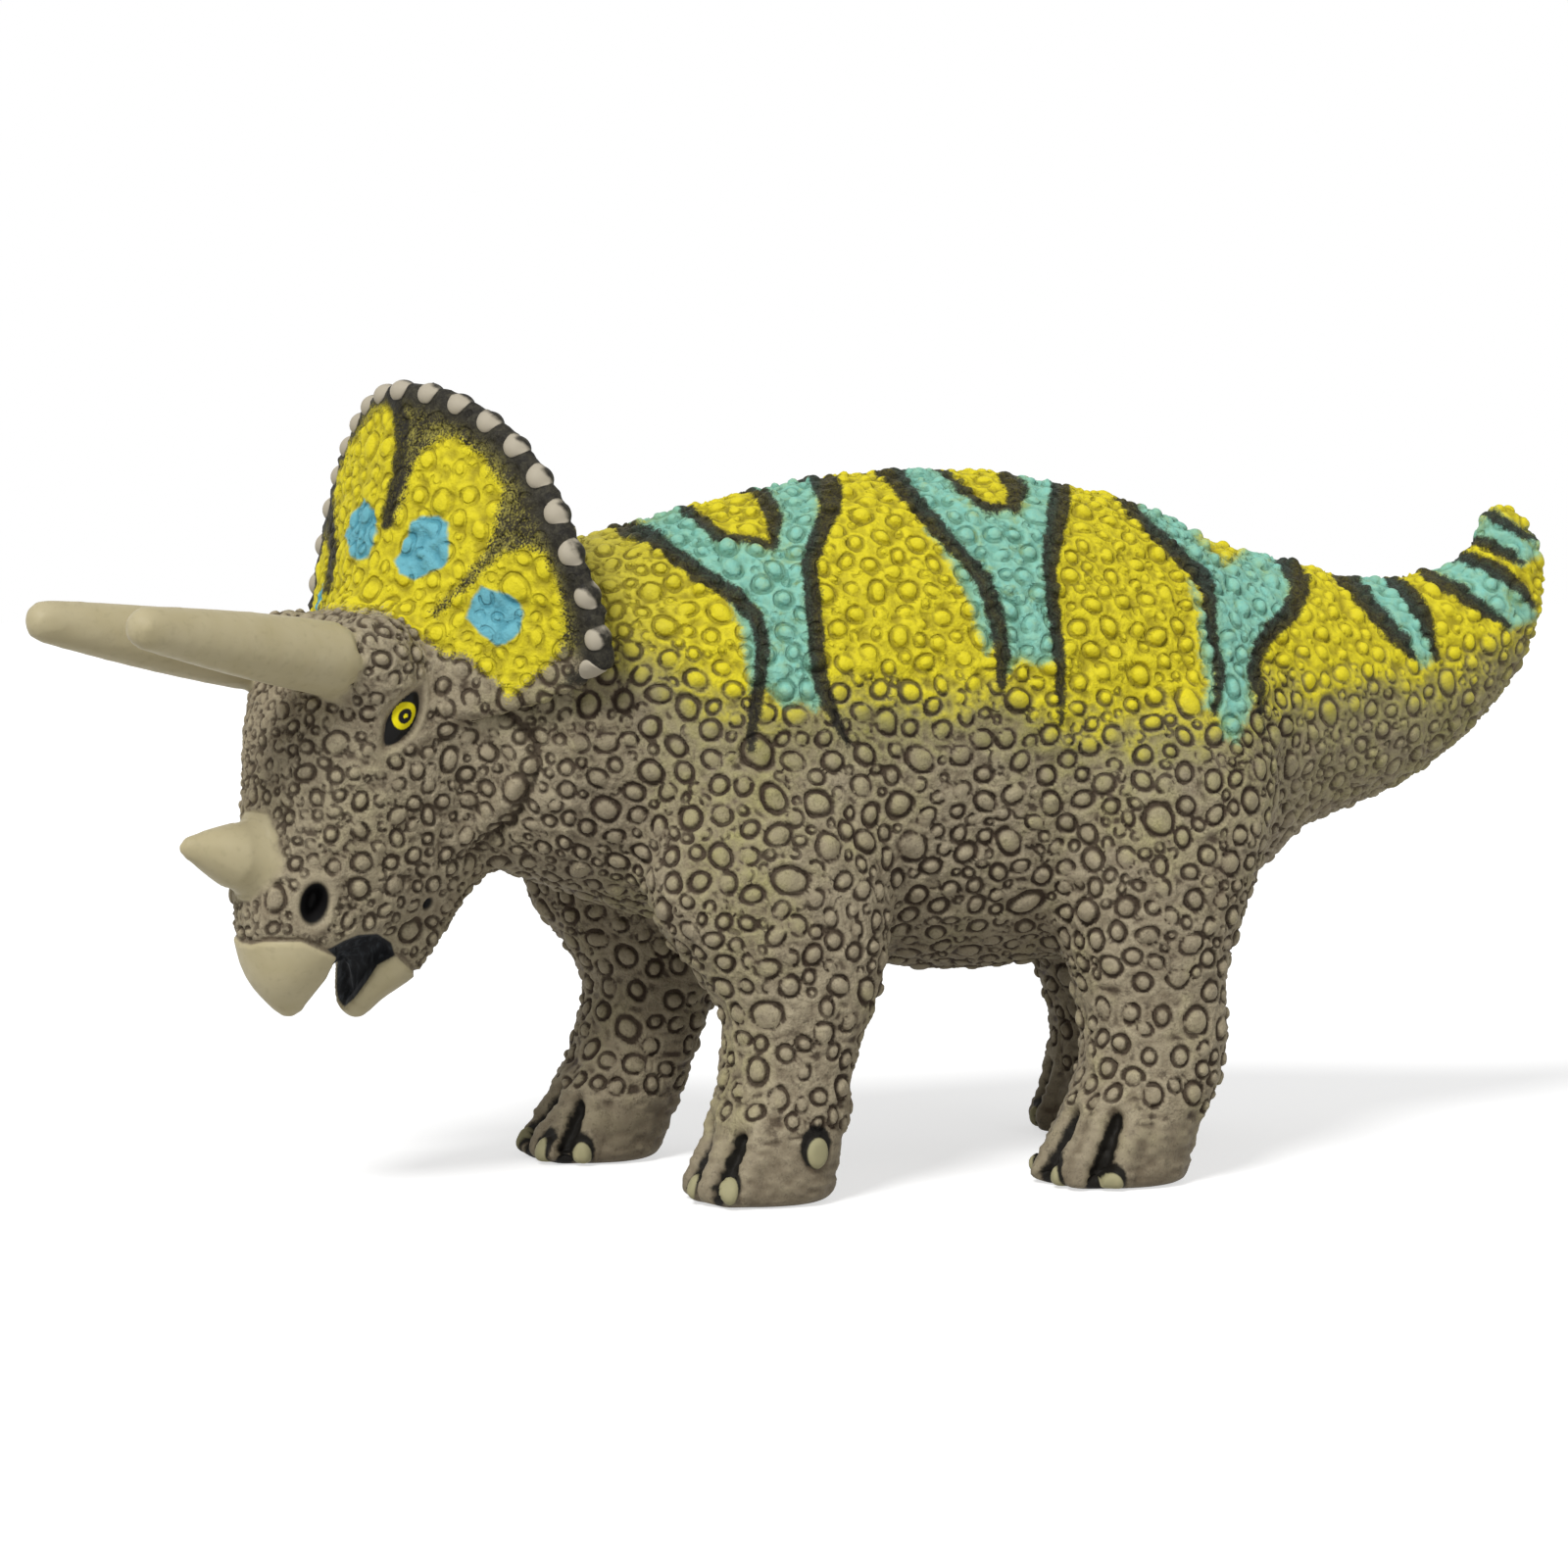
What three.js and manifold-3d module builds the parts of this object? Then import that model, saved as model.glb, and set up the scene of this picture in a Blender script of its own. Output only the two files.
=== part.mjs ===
// A toy horned dinosaur: soft vinyl mouldings, pegged together and bonded, standing on four flat soles.
// Millimetres, +Z up. The figure faces -X and its left side faces -Y. The origin is on the ground, under
// the middle of the figure's box. Every moulding seats on its neighbour with a thin bond line between.
import * as THREE from "three";
import { mergeVertices } from "three/addons/utils/BufferGeometryUtils.js";
import Module from "manifold-3d";

// Overall sizes: the trunk and tail from inside the head to the tail's tip, the back's height, the girth
const trunkLength = 166;
const backHeight = 102.4;
const bodyWidth = 58;

// Fits
const bondGap = 0.3;
const plugClearance = 0.3;
const overrun = 1;

// Hollow trunk: its wall, the plugs at its ends, and the bosses that line up its halves
const wall = 3;
const plugLength = 8;
const bossRadius = 3.4;
const pinRadius = 1.5;
const pinLength = 5;

// Head, in its own frame: up from the horns' level, forward from the frill, across. Its place is given in
// shares of the trunk's length and of the back's height.
const headDepth = 52;
const headLength = 44;
const headWidth = 29;
const headForwardShare = 0.3614;
const headHeightShare = 0.742;
const headTurn = THREE.MathUtils.degToRad(20);

// Horns
const browHornLength = 36;
const browHornBase = 5.4;
const browHornTip = 3.1;
const browHornRise = THREE.MathUtils.degToRad(9.6);
const browHornSpread = THREE.MathUtils.degToRad(4.9);
const noseHornLength = 13;
const noseHornBase = 6;
const noseHornTip = 1.9;
const noseHornRise = THREE.MathUtils.degToRad(12.4);
const hornBury = 4;
const hornPegRadius = 2.4;
const hornPegLength = 9;

// Frill
const frillWidth = 66;
const frillHeight = 34.5;
const frillDrop = 13;
const frillThickness = 4;
const frillSweep = 12;
const frillLean = THREE.MathUtils.degToRad(11);
const frillPegRadius = 1.3;
const frillPegLength = 9;
const knobRadius = 2.2;
const knobCount = 21;

// Lower jaw
const jawPegRadius = 2;
const jawPegLength = 9;

// Legs and feet
const frontLegWidth = 21;
const hindLegWidth = 22;
const legPegRadius = 4;
const legPegPast = 4;
const toeWidth = 6.4;
const toeLength = 6;
const toeHeight = 6;

const wasm = await Module();
wasm.setup();

// A closed three.js geometry as a solid that can be joined and cut.
function solid(geometry) {
  const bare = new THREE.BufferGeometry();
  bare.setAttribute("position", geometry.getAttribute("position"));
  bare.setIndex(geometry.getIndex());
  const merged = mergeVertices(bare);
  const vertProperties = merged.getAttribute("position").array;
  const triVerts = new Uint32Array(merged.getIndex().array);
  return new wasm.Manifold(new wasm.Mesh({ numProp: 3, vertProperties, triVerts }));
}

const join = (bodies) => bodies.reduce((sum, body) => sum.add(body));

// A solid's largest connected piece, without the slivers that a shallow cut leaves at a feathered edge.
function main(body) {
  return body.decompose().reduce((best, piece) => (piece.volume() > best.volume() ? piece : best));
}

// A solid as a named three.js mesh.
function moulding(name, body, color, roughness) {
  const { vertProperties, triVerts } = body.getMesh();
  const geometry = new THREE.BufferGeometry();
  geometry.setAttribute("position", new THREE.BufferAttribute(new Float32Array(vertProperties), 3));
  geometry.setIndex(new THREE.BufferAttribute(new Uint32Array(triVerts), 1));
  geometry.computeVertexNormals();
  const mesh = new THREE.Mesh(geometry, new THREE.MeshStandardMaterial({ color, roughness, metalness: 0 }));
  mesh.name = name;
  return mesh;
}

// A closed skin through oval stations. A station is { at, across, deep }: its centre, its half size along Y
// and its half size along the other direction of its plane. Planes are square to the line of centres, or
// to facing where that is given. Each end is a dome as high as the smaller half size.
function skin(stations, { grow = 0, rings, sides, boxiness, facing = null, domeRings = 3 }) {
  const centres = new THREE.CatmullRomCurve3(stations.map((s) => s.at));
  const sizes = new THREE.CatmullRomCurve3(stations.map((s) => new THREE.Vector3(s.across, s.deep, 0)));
  const planeAt = (share) => facing ?? centres.getTangent(share);
  const points = [];
  const addRing = (share, push, shrink) => {
    const along = planeAt(share);
    const across = new THREE.Vector3(0, 1, 0).addScaledVector(along, -along.y).normalize();
    const deep = new THREE.Vector3().crossVectors(along, across);
    const centre = centres.getPoint(share).addScaledVector(along, push);
    const size = sizes.getPoint(share);
    for (let side = 0; side < sides; side++) {
      const angle = (2 * Math.PI * side) / sides;
      const [c, s] = [Math.cos(angle), Math.sin(angle)];
      const reach = shrink * (Math.abs(c) ** boxiness + Math.abs(s) ** boxiness) ** (-1 / boxiness);
      const point = centre.clone().addScaledVector(across, (size.x + grow) * reach * c);
      points.push(point.addScaledVector(deep, (size.y + grow) * reach * s));
    }
  };
  const domeHeight = (share) => Math.min(sizes.getPoint(share).x, sizes.getPoint(share).y) + grow;
  const domeTurns = [...Array(domeRings).keys()].map((i) => ((i + 1) * Math.PI) / 2 / (domeRings + 1));
  for (const turn of domeTurns.toReversed()) addRing(0, -domeHeight(0) * Math.sin(turn), Math.cos(turn));
  for (let ring = 0; ring <= rings; ring++) addRing(ring / rings, 0, 1);
  for (const turn of domeTurns) addRing(1, domeHeight(1) * Math.sin(turn), Math.cos(turn));
  const ringCount = points.length / sides;
  points.push(centres.getPoint(0).addScaledVector(planeAt(0), -domeHeight(0)));
  points.push(centres.getPoint(1).addScaledVector(planeAt(1), domeHeight(1)));
  const [firstPole, lastPole] = [points.length - 2, points.length - 1];
  const triangles = [];
  for (let side = 0; side < sides; side++) {
    const next = (side + 1) % sides;
    triangles.push(firstPole, next, side);
    for (let ring = 0; ring < ringCount - 1; ring++) {
      const [low, high] = [ring * sides, (ring + 1) * sides];
      triangles.push(low + side, low + next, high + next, low + side, high + next, high + side);
    }
    const last = (ringCount - 1) * sides;
    triangles.push(lastPole, last + side, last + next);
  }
  return new THREE.BufferGeometry().setFromPoints(points).setIndex(triangles);
}

const up = new THREE.Vector3(0, 0, 1);
const down = new THREE.Vector3(0, 0, -1);

// A geometry made along +Z, turned to an aim and moved to a place.
function placed(geometry, at, aim) {
  geometry.applyQuaternion(new THREE.Quaternion().setFromUnitVectors(up, aim));
  return geometry.translate(at.x, at.y, at.z);
}

// A round bar from one point to another.
const barSides = 12;
function bar(from, to, radius) {
  const aim = new THREE.Vector3().subVectors(to, from);
  const middle = new THREE.Vector3().addVectors(from, to).multiplyScalar(0.5);
  const upright = new THREE.CylinderGeometry(radius, radius, aim.length(), barSides).rotateX(Math.PI / 2);
  return placed(upright, middle, aim.normalize());
}

// An egg shape round a point.
const eggSides = 10;
const eggRings = 7;
function egg(at, half) {
  const ball = new THREE.SphereGeometry(1, eggSides, eggRings);
  return ball.scale(half.x, half.y, half.z).translate(at.x, at.y, at.z);
}

// A box that reaches far past the figure, except where a side is given.
const farShare = 3;
const far = farShare * trunkLength;
function block({ x = [-far, far], y = [-far, far], z = [-far, far] }) {
  const geometry = new THREE.BoxGeometry(x[1] - x[0], y[1] - y[0], z[1] - z[0]);
  return geometry.translate((x[0] + x[1]) / 2, (y[0] + y[1]) / 2, (z[0] + z[1]) / 2);
}

// Trunk: oval stations from inside the head to the tail's tip, as shares of the trunk's length, of the
// back's height (centre and half depth) and of the body's width
const trunkShares = [
  { along: 0.0, height: 0.664, wide: 0.45, deep: 0.166 },
  { along: 0.06, height: 0.66, wide: 0.62, deep: 0.22 },
  { along: 0.133, height: 0.657, wide: 0.76, deep: 0.257 },
  { along: 0.223, height: 0.652, wide: 0.9, deep: 0.3 },
  { along: 0.343, height: 0.651, wide: 0.97, deep: 0.34 },
  { along: 0.464, height: 0.641, wide: 1.0, deep: 0.359 },
  { along: 0.584, height: 0.638, wide: 0.97, deep: 0.335 },
  { along: 0.675, height: 0.646, wide: 0.86, deep: 0.291 },
  { along: 0.76, height: 0.668, wide: 0.66, deep: 0.21 },
  { along: 0.855, height: 0.681, wide: 0.5, deep: 0.162 },
  { along: 0.927, height: 0.726, wide: 0.38, deep: 0.128 },
  { along: 0.98, height: 0.787, wide: 0.28, deep: 0.092 },
  { along: 1.003, height: 0.865, wide: 0.19, deep: 0.061 },
  { along: 1.0, height: 0.915, wide: 0.12, deep: 0.036 },
];
const neckSeamShare = 0.085;
const tailSeamShare = 0.735;
const neckReachShare = 0.3133;
const alongTrunk = (share) => (share - neckReachShare) * trunkLength;
const neckSeam = alongTrunk(neckSeamShare);
const tailSeam = alongTrunk(tailSeamShare);
const trunkStations = trunkShares.map(({ along, height, wide, deep }) => ({
  at: new THREE.Vector3(alongTrunk(along), 0, height * backHeight),
  across: (wide * bodyWidth) / 2,
  deep: deep * backHeight,
}));
const trunk = (grow) => skin(trunkStations, { grow, rings: 30, sides: 22, boxiness: 2.15 });
const trunkBody = solid(trunk(0));
const trunkHollow = solid(trunk(-wall));
const trunkRoom = solid(trunk(bondGap));
const trunkCore = solid(trunk(-wall / 2));
const plugBody = solid(trunk(-wall - plugClearance));

// Legs: level slices from inside the trunk to below the sole, as shares of the shoulder's or hip's height,
// of the leg's width (ahead, half length, half width) and of half the body's width (out)
const frontLegShares = [
  { height: 1.02, ahead: -0.05, out: 0.55, long: 0.55, wide: 0.3 },
  { height: 0.92, ahead: -0.02, out: 0.62, long: 0.74, wide: 0.44 },
  { height: 0.78, ahead: 0.04, out: 0.68, long: 0.83, wide: 0.52 },
  { height: 0.64, ahead: 0.08, out: 0.71, long: 0.83, wide: 0.54 },
  { height: 0.5, ahead: -0.06, out: 0.72, long: 0.66, wide: 0.51 },
  { height: 0.41, ahead: -0.1, out: 0.73, long: 0.51, wide: 0.48 },
  { height: 0.29, ahead: -0.03, out: 0.74, long: 0.44, wide: 0.44 },
  { height: 0.17, ahead: 0.02, out: 0.75, long: 0.45, wide: 0.46 },
  { height: 0.05, ahead: 0.15, out: 0.76, long: 0.49, wide: 0.48 },
  { height: -0.03, ahead: 0.16, out: 0.76, long: 0.5, wide: 0.49 },
];
const hindLegShares = [
  { height: 1.06, ahead: 0, out: 0.5, long: 0.5, wide: 0.3 },
  { height: 0.96, ahead: 0.0, out: 0.6, long: 0.7, wide: 0.46 },
  { height: 0.82, ahead: 0.02, out: 0.68, long: 0.78, wide: 0.55 },
  { height: 0.66, ahead: 0.06, out: 0.71, long: 0.73, wide: 0.56 },
  { height: 0.52, ahead: 0.13, out: 0.73, long: 0.61, wide: 0.52 },
  { height: 0.39, ahead: 0.14, out: 0.74, long: 0.49, wide: 0.47 },
  { height: 0.26, ahead: 0.1, out: 0.75, long: 0.48, wide: 0.45 },
  { height: 0.14, ahead: 0.24, out: 0.76, long: 0.47, wide: 0.46 },
  { height: 0.05, ahead: 0.4, out: 0.77, long: 0.5, wide: 0.48 },
  { height: -0.03, ahead: 0.41, out: 0.77, long: 0.51, wide: 0.49 },
];
const shoulderHeightShare = 0.635;
const hipHeightShare = 0.72;
const legPegHeightShare = 0.46;
const legPegOutShare = 0.92;
const legPegInShare = 0.62;

// step is how far the foot stands ahead of its usual place, as a share of the leg's width
const legs = [
  { name: "front_left_leg", side: -1, alongShare: 0.262, stepShare: 0, front: true },
  { name: "front_right_leg", side: 1, alongShare: 0.216, stepShare: 0.24, front: true },
  { name: "hind_left_leg", side: -1, alongShare: 0.617, stepShare: 0, front: false },
  { name: "hind_right_leg", side: 1, alongShare: 0.662, stepShare: -0.5, front: false },
];
const ground = solid(block({ z: [-far, 0] }));

function legStations({ side, alongShare, stepShare, front }) {
  const width = front ? frontLegWidth : hindLegWidth;
  const height = backHeight * (front ? shoulderHeightShare : hipHeightShare);
  return (front ? frontLegShares : hindLegShares).map((slice) => {
    const step = stepShare * Math.max(0, 1 - slice.height / legPegHeightShare);
    const x = alongTrunk(alongShare) - (slice.ahead + step) * width;
    return {
      at: new THREE.Vector3(x, (side * slice.out * bodyWidth) / 2, slice.height * height),
      across: slice.wide * width,
      deep: slice.long * width,
    };
  });
}

// Three toes in a fan at the front of a foot
const toeOutShares = [-0.62, 0, 0.62];
const toeAheadShares = [0.72, 0.92, 0.72];
const toeLiftShare = 0.25;
function toes(foot) {
  return toeOutShares.map((out, toe) => {
    const ahead = toeAheadShares[toe] * foot.deep;
    const at = new THREE.Vector3(foot.at.x - ahead, foot.at.y + out * foot.across, toeLiftShare * toeHeight);
    return solid(egg(at, new THREE.Vector3(toeLength / 2, toeWidth / 2, toeHeight / 2)));
  });
}

function legPeg({ side, alongShare }, radius, past) {
  const z = legPegHeightShare * backHeight;
  const outer = (side * legPegOutShare * bodyWidth) / 2;
  const inner = side * ((legPegInShare * bodyWidth) / 2 - wall - legPegPast - past);
  const x = alongTrunk(alongShare);
  return solid(bar(new THREE.Vector3(x, outer, z), new THREE.Vector3(x, inner, z), radius));
}

function legBody(leg) {
  const stations = legStations(leg);
  const limb = solid(skin(stations, { rings: 16, sides: 18, boxiness: 2.3, facing: down, domeRings: 2 }));
  const foot = stations[stations.length - 2];
  const outside = main(join([limb, ...toes(foot)]).subtract(trunkRoom).subtract(ground));
  return outside.add(legPeg(leg, legPegRadius, 0));
}

// Trunk halves: shells with a boss and pin, or a boss and hole, at two places near the back
const bossAlongShares = [0.3, 0.6];
const bossHeightShare = 0.78;
function bossBar(share, fromY, toY, radius) {
  const on = (y) => new THREE.Vector3(alongTrunk(share), y, bossHeightShare * backHeight);
  return solid(bar(on(fromY), on(toY), radius));
}

function trunkHalf(side) {
  const split = side > 0 ? { y: [bondGap / 2, far] } : { y: [-far, -bondGap / 2] };
  const room = solid(block({ x: [neckSeam, tailSeam], ...split }));
  let shell = trunkBody.subtract(trunkHollow);
  for (const share of bossAlongShares) {
    shell = shell.add(bossBar(share, 0, (side * bodyWidth) / 2, bossRadius).intersect(trunkCore));
  }
  shell = shell.intersect(room);
  for (const share of bossAlongShares) {
    const pin = bossBar(share, -overrun, pinLength, pinRadius);
    const hole = bossBar(share, -overrun, pinLength + plugClearance, pinRadius + plugClearance);
    shell = side < 0 ? shell.add(pin) : shell.subtract(hole);
  }
  for (const leg of legs.filter((l) => l.side === side)) {
    shell = shell.subtract(legPeg(leg, legPegRadius + plugClearance, plugClearance));
  }
  return shell;
}

// Tail: solid, with a plug into the trunk's open end
function tailBody() {
  const outside = trunkBody.intersect(solid(block({ x: [tailSeam + bondGap, far] })));
  return outside.add(plugBody.intersect(solid(block({ x: [tailSeam - plugLength, tailSeam + overrun] }))));
}

// Skull: level slices from the beak's tip to the crown, as shares of the head's depth, length and width
const skullShares = [
  { height: -0.925, forward: 0.386, long: 0.05, wide: 0.075 },
  { height: -0.89, forward: 0.386, long: 0.09, wide: 0.14 },
  { height: -0.84, forward: 0.382, long: 0.132, wide: 0.217 },
  { height: -0.78, forward: 0.34, long: 0.193, wide: 0.276 },
  { height: -0.7, forward: 0.239, long: 0.318, wide: 0.331 },
  { height: -0.577, forward: 0.102, long: 0.443, wide: 0.4 },
  { height: -0.423, forward: 0.02, long: 0.49, wide: 0.469 },
  { height: -0.23, forward: 0, long: 0.5, wide: 0.51 },
  { height: -0.077, forward: 0, long: 0.45, wide: 0.54 },
  { height: 0.038, forward: -0.023, long: 0.37, wide: 0.5 },
  { height: 0.135, forward: -0.068, long: 0.25, wide: 0.38 },
  { height: 0.17, forward: -0.09, long: 0.14, wide: 0.21 },
];

// Lower jaw: level slices from its tip to inside the throat, in the same shares
const jawShares = [
  { height: -0.935, forward: 0.136, long: 0.055, wide: 0.09 },
  { height: -0.9, forward: 0.114, long: 0.092, wide: 0.15 },
  { height: -0.856, forward: 0.057, long: 0.125, wide: 0.215 },
  { height: -0.788, forward: 0.023, long: 0.16, wide: 0.26 },
  { height: -0.71, forward: -0.02, long: 0.18, wide: 0.297 },
  { height: -0.625, forward: -0.08, long: 0.205, wide: 0.33 },
  { height: -0.52, forward: -0.136, long: 0.205, wide: 0.345 },
];

// A point of the head, from shares of its length forward, of its width to the side and of its depth up.
function inHead({ forward, out = 0, height }) {
  return new THREE.Vector3(-forward * headLength, out * headWidth, height * headDepth);
}

function headStations(shares) {
  return shares.map((share) => ({
    at: inHead(share),
    across: share.wide * headWidth,
    deep: share.long * headLength,
  }));
}

const skullGrid = { rings: 20, sides: 20, boxiness: 2.3, facing: up, domeRings: 2 };
const jawGrid = { rings: 10, sides: 16, boxiness: 2, facing: up, domeRings: 2 };
const skull = (grow) => skin(headStations(skullShares), { grow, ...skullGrid });
const jaw = skin(headStations(jawShares), jawGrid);

// Brow bosses carry the brow horns.
const browBossHalfShares = { forward: 0.18, out: 0.22, height: 0.14 };
const browBossAtShares = { forward: 0.215, out: 0.37, height: 0.0 };
function browBoss(side, grow) {
  const half = new THREE.Vector3(
    browBossHalfShares.forward * headLength + grow,
    browBossHalfShares.out * headWidth + grow,
    browBossHalfShares.height * headDepth + grow,
  );
  return egg(inHead({ ...browBossAtShares, out: side * browBossAtShares.out }), half);
}

// A horn about +Z: a slightly swollen cone with a blunt round tip, from inside the head.
const swellShare = 0.07;
const hornSides = 16;
function horn({ length, base, tip }) {
  const outline = [new THREE.Vector2(0, -hornBury), new THREE.Vector2(base, -hornBury)];
  const steps = 8;
  for (let step = 0; step <= steps; step++) {
    const share = step / steps;
    const radius = base + (tip - base) * share + swellShare * base * Math.sin(Math.PI * share);
    outline.push(new THREE.Vector2(radius, share * (length - tip)));
  }
  for (const turn of [1, 2, 3].map((i) => (i * Math.PI) / 8)) {
    outline.push(new THREE.Vector2(tip * Math.cos(turn), length - tip + tip * Math.sin(turn)));
  }
  outline.push(new THREE.Vector2(0, length));
  return new THREE.LatheGeometry(outline, hornSides).rotateX(Math.PI / 2);
}

// The direction of a horn: forward, risen from the level and spread to its own side.
function hornAim(rise, spread) {
  const level = Math.cos(rise);
  return new THREE.Vector3(-level * Math.cos(spread), level * Math.sin(spread), Math.sin(rise));
}

// Where each horn stands on the head, and where it points
const browAtShares = { forward: 0.33, out: 0.38, height: 0.01 };
const noseAtShares = { forward: 0.49, height: -0.525 };
function browHorn(name, side) {
  const at = inHead({ ...browAtShares, out: side * browAtShares.out });
  const aim = hornAim(browHornRise, side * browHornSpread);
  return { name, at, aim, length: browHornLength, base: browHornBase, tip: browHornTip };
}

const horns = [
  browHorn("brow_horn_left", -1),
  browHorn("brow_horn_right", 1),
  {
    name: "nose_horn",
    at: inHead(noseAtShares),
    aim: hornAim(noseHornRise, 0),
    length: noseHornLength,
    base: noseHornBase,
    tip: noseHornTip,
  },
];

// A horn's peg runs from inside the horn straight back into the head.
const pegInHornShare = 0.35;
function hornPeg({ at, aim, length }, radius, past) {
  const outer = at.clone().addScaledVector(aim, pegInHornShare * length);
  return solid(bar(outer, at.clone().addScaledVector(aim, -hornPegLength - past), radius));
}

// Frill: a shield whose halves sweep back from its middle. frillPoint gives a point of its middle surface
// from the shares of the half width and of the height above or below the centre.
const frillAtShares = { forward: 0.08, height: 0.06 };
const sweepPower = 1.4;
function frillPoint(acrossShare, upShare) {
  const rise = upShare * (upShare > 0 ? frillHeight : frillDrop);
  const back = frillSweep * Math.abs(acrossShare) ** sweepPower + Math.max(rise, 0) * Math.tan(frillLean);
  return inHead(frillAtShares).add(new THREE.Vector3(back, (acrossShare * frillWidth) / 2, rise));
}

const rimThinnerShare = 0.25;
function shield() {
  const rings = 5;
  const sides = 36;
  const faceSize = 1 + rings * sides;
  const points = [];
  for (const face of [-1, 1]) {
    for (let i = 0; i < faceSize; i++) {
      const ring = Math.ceil(i / sides);
      const angle = (2 * Math.PI * ((i - 1) % sides)) / sides;
      const share = ring / rings;
      const offset = (face * frillThickness * (1 - rimThinnerShare * share)) / 2;
      const middle = frillPoint(share * Math.cos(angle), share * Math.sin(angle));
      points.push(middle.add(new THREE.Vector3(offset, 0, 0)));
    }
  }
  const inFace = (ring, side) => (ring === 0 ? 0 : 1 + (ring - 1) * sides + (side % sides));
  const at = (face, ring, side) => face * faceSize + inFace(ring, side);
  const triangles = [];
  const quad = (a, b, c, d) => triangles.push(a, b, c, a, c, d);
  for (let side = 0; side < sides; side++) {
    triangles.push(at(0, 0, 0), at(0, 1, side + 1), at(0, 1, side));
    triangles.push(at(1, 0, 0), at(1, 1, side), at(1, 1, side + 1));
    for (let ring = 1; ring < rings; ring++) {
      quad(at(0, ring, side + 1), at(0, ring + 1, side + 1), at(0, ring + 1, side), at(0, ring, side));
      quad(at(1, ring, side), at(1, ring + 1, side), at(1, ring + 1, side + 1), at(1, ring, side + 1));
    }
    quad(at(0, rings, side), at(0, rings, side + 1), at(1, rings, side + 1), at(1, rings, side));
  }
  return new THREE.BufferGeometry().setFromPoints(points).setIndex(triangles);
}

// Round knobs stand along the rim, from below one side, over the top, to below the other side.
const firstKnob = THREE.MathUtils.degToRad(-9);
const lastKnob = THREE.MathUtils.degToRad(189);
function knobs() {
  return [...Array(knobCount).keys()].map((knob) => {
    const angle = firstKnob + ((lastKnob - firstKnob) * knob) / (knobCount - 1);
    const at = frillPoint(Math.cos(angle), Math.sin(angle));
    return solid(new THREE.IcosahedronGeometry(knobRadius, 1).translate(at.x, at.y, at.z));
  });
}

// Two thin pegs run down from the frill into the crown.
const frillPegAcrossShares = [-0.17, 0.17];
const frillPegUpShare = 0.42;
function frillPegs(radius, past) {
  return frillPegAcrossShares.map((across) => {
    const top = frillPoint(across, frillPegUpShare);
    const foot = top.clone().addScaledVector(down, frillPegLength + past);
    return solid(bar(top, foot, radius));
  });
}

// The jaw's peg runs up into the skull.
const jawPegAtShares = { forward: 0.02, height: -0.8 };
function jawPeg(radius, past) {
  const foot = inHead(jawPegAtShares);
  return solid(bar(foot, foot.clone().addScaledVector(up, jawPegLength + past), radius));
}

// The head's group, and the neck's end of the trunk seen from it
const head = new THREE.Group();
head.position.set(-headForwardShare * trunkLength, 0, headHeightShare * backHeight);
head.rotation.set(0, 0, headTurn);
head.updateMatrix();
const toHead = head.matrix.clone().invert();
const seen = (geometry) => solid(geometry.applyMatrix4(toHead));

function headBody() {
  const neck = seen(trunk(0)).add(solid(skull(0))).add(solid(browBoss(-1, 0))).add(solid(browBoss(1, 0)));
  const outside = neck.intersect(seen(block({ x: [-far, neckSeam - bondGap] })));
  const plug = seen(trunk(-wall - plugClearance));
  const plugRoom = seen(block({ x: [neckSeam - overrun, neckSeam + plugLength] }));
  let body = outside.add(plug.intersect(plugRoom));
  for (const one of horns) body = body.subtract(hornPeg(one, hornPegRadius + plugClearance, plugClearance));
  for (const peg of frillPegs(frillPegRadius + plugClearance, plugClearance)) body = body.subtract(peg);
  return body.subtract(jawPeg(jawPegRadius + plugClearance, plugClearance));
}

// The space that the head and neck fill, with the bond line round them
const headRoom = join([
  solid(skull(bondGap)),
  seen(trunk(bondGap)),
  solid(browBoss(-1, bondGap)),
  solid(browBoss(1, bondGap)),
]);

const skinColour = "#857a63";
const hornColour = "#a89d7b";
const paintColour = "#c9c23c";
const backColour = "#a39d52";
const satin = 0.75;
const matt = 0.85;

for (const one of horns) {
  const outside = main(solid(placed(horn(one), one.at, one.aim)).subtract(headRoom));
  head.add(moulding(one.name, outside.add(hornPeg(one, hornPegRadius, 0)), hornColour, satin));
}
const frillOutside = main(join([solid(shield()), ...knobs()]).subtract(headRoom));
head.add(moulding("frill", join([frillOutside, ...frillPegs(frillPegRadius, 0)]), paintColour, matt));
const jawOutside = main(solid(jaw).subtract(headRoom));
head.add(moulding("lower_jaw", jawOutside.add(jawPeg(jawPegRadius, 0)), skinColour, matt));
head.add(moulding("head", headBody(), skinColour, matt));

const figure = new THREE.Group();
figure.add(head);
figure.add(moulding("torso_left_shell", trunkHalf(-1), backColour, matt));
figure.add(moulding("torso_right_shell", trunkHalf(1), backColour, matt));
figure.add(moulding("tail", tailBody(), backColour, matt));
for (const leg of legs) figure.add(moulding(leg.name, legBody(leg), skinColour, matt));

// The figure stands with the middle of its box over the origin.
figure.updateMatrixWorld(true);
const extent = new THREE.Box3().setFromObject(figure, true);
figure.position.set(-(extent.min.x + extent.max.x) / 2, -(extent.min.y + extent.max.y) / 2, 0);

const part = new THREE.Group();
part.add(figure);

export default part;
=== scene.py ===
# %% [markdown]
# # A toy horned dinosaur
# The object is a soft vinyl figure, about 23 cm from horn tip to tail. It is moulded in pieces that are
# pegged, bonded and then painted by hand. This lesson takes the plain packed model and gives it the
# surface of the real one: thousands of ringed scales, a striped back, a painted frill, glossy eyes and
# nails. Lengths are in millimetres until a mesh is made, and places are in the packed model's frame.

# %% The packed model
import math

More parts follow.
